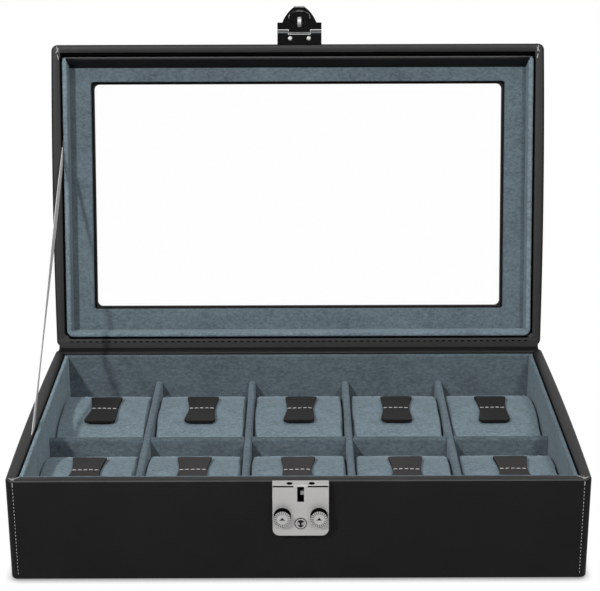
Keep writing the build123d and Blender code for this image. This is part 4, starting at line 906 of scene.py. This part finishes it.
def simulate(objects):
    """Let the covers settle as cloth under a little pressure, then keep the settled shape."""
    for ob in objects:
        pin = ob.vertex_groups.new(name="pin")
        for v in ob.data.vertices:
            if v.co.z < PIN_HEIGHT:
                pin.add([v.index], 1.0, "REPLACE")
        mod = ob.modifiers.new("cloth", "CLOTH")
        s = mod.settings
        s.quality = 5
        s.mass = 0.25
        s.tension_stiffness = 12
        s.compression_stiffness = 12
        s.shear_stiffness = 6
        s.bending_stiffness = 0.35
        s.use_pressure = True
        s.uniform_pressure_force = 4.0
        s.vertex_group_mass = "pin"
        s.effector_weights.gravity = 0.0
        mod.collision_settings.use_collision = False
        mod.point_cache.frame_start = 1
        mod.point_cache.frame_end = SETTLE_FRAMES
    scene = bpy.context.scene
    for f in range(1, SETTLE_FRAMES + 1):
        scene.frame_set(f)
    dg = bpy.context.evaluated_depsgraph_get()
    for ob in objects:
        settled = [v.co.copy() for v in ob.evaluated_get(dg).data.vertices]
        ob.modifiers.clear()
        for v, q in zip(ob.data.vertices, settled):
            d = q - v.co
            if d.length > SETTLE_CAP:
                d *= SETTLE_CAP / d.length
            v.co += d
        ob.data.update()
    scene.frame_set(1)


simulate(list(cushions.values()))
for name, ob in cushions.items():
    sub = ob.modifiers.new("smooth", "SUBSURF")
    sub.levels = sub.render_levels = 1
    body = name.replace("cushion", "pad")
    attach(ob, body)
    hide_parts(name)

# Tabs
# Sideways places of each tab in mm from the middle of its cushion: rear end, waist, front end
TAB_SHIFTS = {
    ("rear", 1): (-0.4, 0.4, -1.1), ("rear", 2): (0.1, 0.5, -0.2), ("rear", 3): (1.6, 1.0, 0.2),
    ("rear", 4): (1.3, 0.1, -0.4), ("rear", 5): (-0.1, -0.4, -0.9),
    ("front", 1): (-0.2, -0.1, -1.1), ("front", 2): (0.2, 0.4, -0.2), ("front", 3): (-0.2, -0.7, -0.5),
    ("front", 4): (1.3, 1.3, 0.8), ("front", 5): (1.7, 1.4, 1.1),
}
TAB_BACK = {"rear": 0.0150, "front": 0.0176}
TAB_RUN, TAB_SEAM, TAB_THICK = 0.0382, 0.0204, 0.0019
TAB_HALF_WIDTHS = (0.0106, 0.0084, 0.0099)
TAB_NOSE, TAB_NOSE_CUT, TAB_BACK_CUT, SEWN = 0.0032, 0.0026, 0.0015, 0.002
TAB_LIFTS, TAB_BACK_LIFT = (0.0013, 0.0022), 0.0009
TAB_GAP, TAB_WORN, TAB_WAVE = 0.0002, 0.0003, 0.0003
THREAD_WANDER = 0.00022


def blend3(values, t):
    """A smooth value through three, at 0, at the seam and at 1."""
    seam = TAB_SEAM / TAB_RUN
    a, b, c = values
    if t < seam:
        q = 1 - t / seam
        return b + (a - b) * q ** 1.5
    q = (t - seam) / (1 - seam)
    return b + (c - b) * min(1, q / 0.8) ** 1.2


def make_tab(name, ob, cx, cy, back, shifts, seed, mat):
    """A waisted leather tab: sewn down across its waist, with both ends a little free."""
    rnd = random.Random(seed)
    lift = rnd.uniform(*TAB_LIFTS)
    ns, nw = 30, 10
    ev = ob.evaluated_get(bpy.context.evaluated_depsgraph_get())
    offset = Vector((cx, cy, CUSHION_FOOT))
    rows = []
    for i in range(ns + 1):
        t = i / ns
        run = t * TAB_RUN
        half = blend3(TAB_HALF_WIDTHS, t)
        end = TAB_RUN - run
        if end < TAB_NOSE:
            half -= TAB_NOSE_CUT * (1 - math.sqrt(max(1 - (1 - end / TAB_NOSE) ** 2, 0)))
        if run < TAB_BACK_CUT:
            half -= 0.0007 * (1 - run / TAB_BACK_CUT)
        middle = blend3(shifts, t) / 1000
        wave = math.sin(math.pi * t) * TAB_WAVE
        line = []
        for k in range(nw + 1):
            u = 2 * k / nw - 1
            x = middle + u * half
            y = back - run - wave * u * u
            hit, place, _, _ = ev.ray_cast(Vector((x, y, 0.1)), Vector((0, 0, -1)))
            z = place.z if hit else crown(2 * y / CUSHION_L)
            free = max(0.0, (run - TAB_SEAM - SEWN) / (TAB_RUN - TAB_SEAM - SEWN))
            loose = max(0.0, (TAB_SEAM - SEWN - run) / (TAB_SEAM - SEWN))
            z += TAB_GAP + lift * free ** 1.5 + TAB_BACK_LIFT * loose ** 1.6
            line.append(Vector((x, y, z)))
        rows.append(line)
    verts, faces = [], []
    n = nw + 1
    for r, line in enumerate(rows):
        thin = 0.0006 if r == 0 else 0.0
        for k, p in enumerate(line):
            worn = TAB_WORN if k in (0, nw) else 0
            verts.append(p + offset + Vector((0, 0, TAB_THICK - thin - worn)))
        for k, p in enumerate(line):
            verts.append(p + offset + Vector((0, 0, 0.0002 if k in (0, nw) else 0)))
    for r in range(len(rows) - 1):
        a, b = r * 2 * n, (r + 1) * 2 * n
        for k in range(nw):
            faces.append((a + k, b + k, b + k + 1, a + k + 1))
            faces.append((a + n + k, a + n + k + 1, b + n + k + 1, b + n + k))
        faces.append((a, a + n, b + n, b))
        faces.append((a + nw, b + nw, b + n + nw, a + n + nw))
    for r, flip in ((0, False), (len(rows) - 1, True)):
        a = r * 2 * n
        for k in range(nw):
            f = (a + k, a + k + 1, a + n + k + 1, a + n + k)
            faces.append(f[::-1] if flip else f)
    tab = mesh_object(name + "_leather", verts, faces, mat, 50)
    # Side and end faces of the tab take the very dark leather: painted shade on its cut edges
    tab.data.materials.append(TAB_EDGE_SHADE)
    for face in tab.data.polygons:
        if abs(face.normal.z) < 0.5:
            face.material_index = 1
    seam = rows[round(ns * TAB_SEAM / TAB_RUN)]

    def at(f):
        """A place on the seam, from 0 to 1 across the tab, with the thread a little uneven."""
        i = max(0, min(int(f * nw), nw - 1))
        p = seam[i].lerp(seam[i + 1], f * nw - i)
        return p + offset + Vector((0, rnd.uniform(-THREAD_WANDER, THREAD_WANDER), TAB_THICK + 0.0001))

    runs = [(at(0.01 + 0.197 * k), at(0.01 + 0.197 * k + 0.152), (0, 0, 1)) for k in range(5)]
    return tab, stitches(name + "_stitches", runs, THREAD, 0.00062)


for r, (row, y) in enumerate(ROW_YS.items()):
    for c, x in enumerate(BAY_XS, 1):
        name = f"tab_{row}_{c}"
        # The rear row takes the darker tab leather as painted shade
        tab, thread = make_tab(name, cushions[f"cushion_{row}_{c}"], x, y, TAB_BACK[row],
                               TAB_SHIFTS[row, c], 71 * r + 5 * c,
                               TAB_REAR_SHADE if row == "rear" else TAB_LEATHER)
        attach(tab, f"pad_{row}_{c}")
        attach(thread, f"pad_{row}_{c}")
        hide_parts(name)

# Stage
def floor_material():
    """White to the camera with a thin contact shadow, mid grey to the light."""
    m = bpy.data.materials.new("studio_floor")
    m.use_nodes = True
    t = m.node_tree
    t.nodes.clear()
    out = t.nodes.new("ShaderNodeOutputMaterial")
    path = t.nodes.new("ShaderNodeLightPath")
    ao = t.nodes.new("ShaderNodeAmbientOcclusion")
    ao.samples = 8
    ao.inputs["Distance"].default_value = 0.005
    seen = t.nodes.new("ShaderNodeEmission")
    stops = [(0.0, (0.30, 0.30, 0.30)), (0.5, (0.55, 0.55, 0.55)), (0.97, (1, 1, 1))]
    t.links.new(ramp(t, ao.outputs["AO"], stops), seen.inputs["Color"])
    lit = t.nodes.new("ShaderNodeBsdfDiffuse")
    lit.inputs["Color"].default_value = (0.5, 0.5, 0.5, 1)
    mix = t.nodes.new("ShaderNodeMixShader")
    t.links.new(path.outputs["Is Camera Ray"], mix.inputs["Fac"])
    t.links.new(lit.outputs["BSDF"], mix.inputs[1])
    t.links.new(seen.outputs["Emission"], mix.inputs[2])
    t.links.new(mix.outputs["Shader"], out.inputs["Surface"])
    return m


FLOOR_HALF = 6
floor_corners = [(sx * FLOOR_HALF, sy * FLOOR_HALF, 0) for sx, sy in ((-1, -1), (1, -1), (1, 1), (-1, 1))]
floor = mesh_object("floor", floor_corners, [(0, 1, 2, 3)], floor_material(), 0)

# White behind the box, dim light from all sides, and bright reflections only from behind
world = bpy.data.worlds.new("studio")
bpy.context.scene.world = world
world.use_nodes = True
t = world.node_tree
t.nodes.clear()
out = t.nodes.new("ShaderNodeOutputWorld")
path = t.nodes.new("ShaderNodeLightPath")
white = t.nodes.new("ShaderNodeBackground")
white.inputs["Color"].default_value = (1, 1, 1, 1)
white.inputs["Strength"].default_value = 1.0
ambient = t.nodes.new("ShaderNodeBackground")
ambient.inputs["Color"].default_value = (0.97, 0.98, 1, 1)
ambient.inputs["Strength"].default_value = 0.17
around = t.nodes.new("ShaderNodeBackground")
around.inputs["Color"].default_value = (1, 1, 1, 1)
place = t.nodes.new("ShaderNodeTexCoord")
axes = t.nodes.new("ShaderNodeSeparateXYZ")
t.links.new(place.outputs["Generated"], axes.inputs["Vector"])
behind = t.nodes.new("ShaderNodeMapRange")
behind.inputs["From Min"].default_value = 0.15
behind.inputs["From Max"].default_value = 0.75
behind.inputs["To Min"].default_value = 0.012
behind.inputs["To Max"].default_value = 0.9
t.links.new(axes.outputs["Y"], behind.inputs["Value"])
t.links.new(behind.outputs["Result"], around.inputs["Strength"])
reflections = t.nodes.new("ShaderNodeMixShader")
sight = t.nodes.new("ShaderNodeMixShader")
t.links.new(path.outputs["Is Glossy Ray"], reflections.inputs["Fac"])
t.links.new(ambient.outputs[0], reflections.inputs[1])
t.links.new(around.outputs[0], reflections.inputs[2])
t.links.new(path.outputs["Is Camera Ray"], sight.inputs["Fac"])
t.links.new(reflections.outputs[0], sight.inputs[1])
t.links.new(white.outputs[0], sight.inputs[2])
t.links.new(sight.outputs[0], out.inputs["Surface"])


LIGHT_TARGET = (0, 0, 0.1)


def area(name, azimuth, elevation, distance, size, power):
    """An area light aimed at the box. Azimuth 0 is straight in front, positive to the left."""
    a, e = math.radians(azimuth), math.radians(elevation)
    d = Vector((-math.sin(a) * math.cos(e), -math.cos(a) * math.cos(e), math.sin(e)))
    light = bpy.data.lights.new(name, "AREA")
    light.shape = "RECTANGLE"
    light.size = size
    light.size_y = size
    light.energy = power
    ob = bpy.data.objects.new(name, light)
    bpy.context.scene.collection.objects.link(ob)
    ob.location = Vector(LIGHT_TARGET) + d * distance
    ob.rotation_mode = "QUATERNION"
    ob.rotation_quaternion = (-d).to_track_quat("-Z", "Y")


area("key_light", 26.9, 33.8, 2.6, 0.13, 46)
area("right_light", -19, 34, 2.6, 0.25, 24)
area("top_fill", -10, 70, 2.2, 1.2, 12)

# Camera
CAMERA_PLACE = (0.0019, -0.9086, 0.4543)
CAMERA_TILT, CAMERA_ROLL, CAMERA_TURN = (math.radians(a) for a in (70.7323, 0.1744, -0.0309))
cam_data = bpy.data.cameras.new("camera")
cam_data.sensor_width = 36
cam_data.lens = 95.3
cam_data.shift_x = -0.0008
cam_data.shift_y = 0.0014
cam = bpy.data.objects.new("camera", cam_data)
bpy.context.scene.collection.objects.link(cam)
cam.location = CAMERA_PLACE
cam.rotation_mode = "QUATERNION"
cam.rotation_quaternion = Euler((CAMERA_TILT, CAMERA_ROLL, CAMERA_TURN)).to_quaternion()
bpy.context.scene.camera = cam

bpy.context.scene.view_settings.view_transform = "Standard"
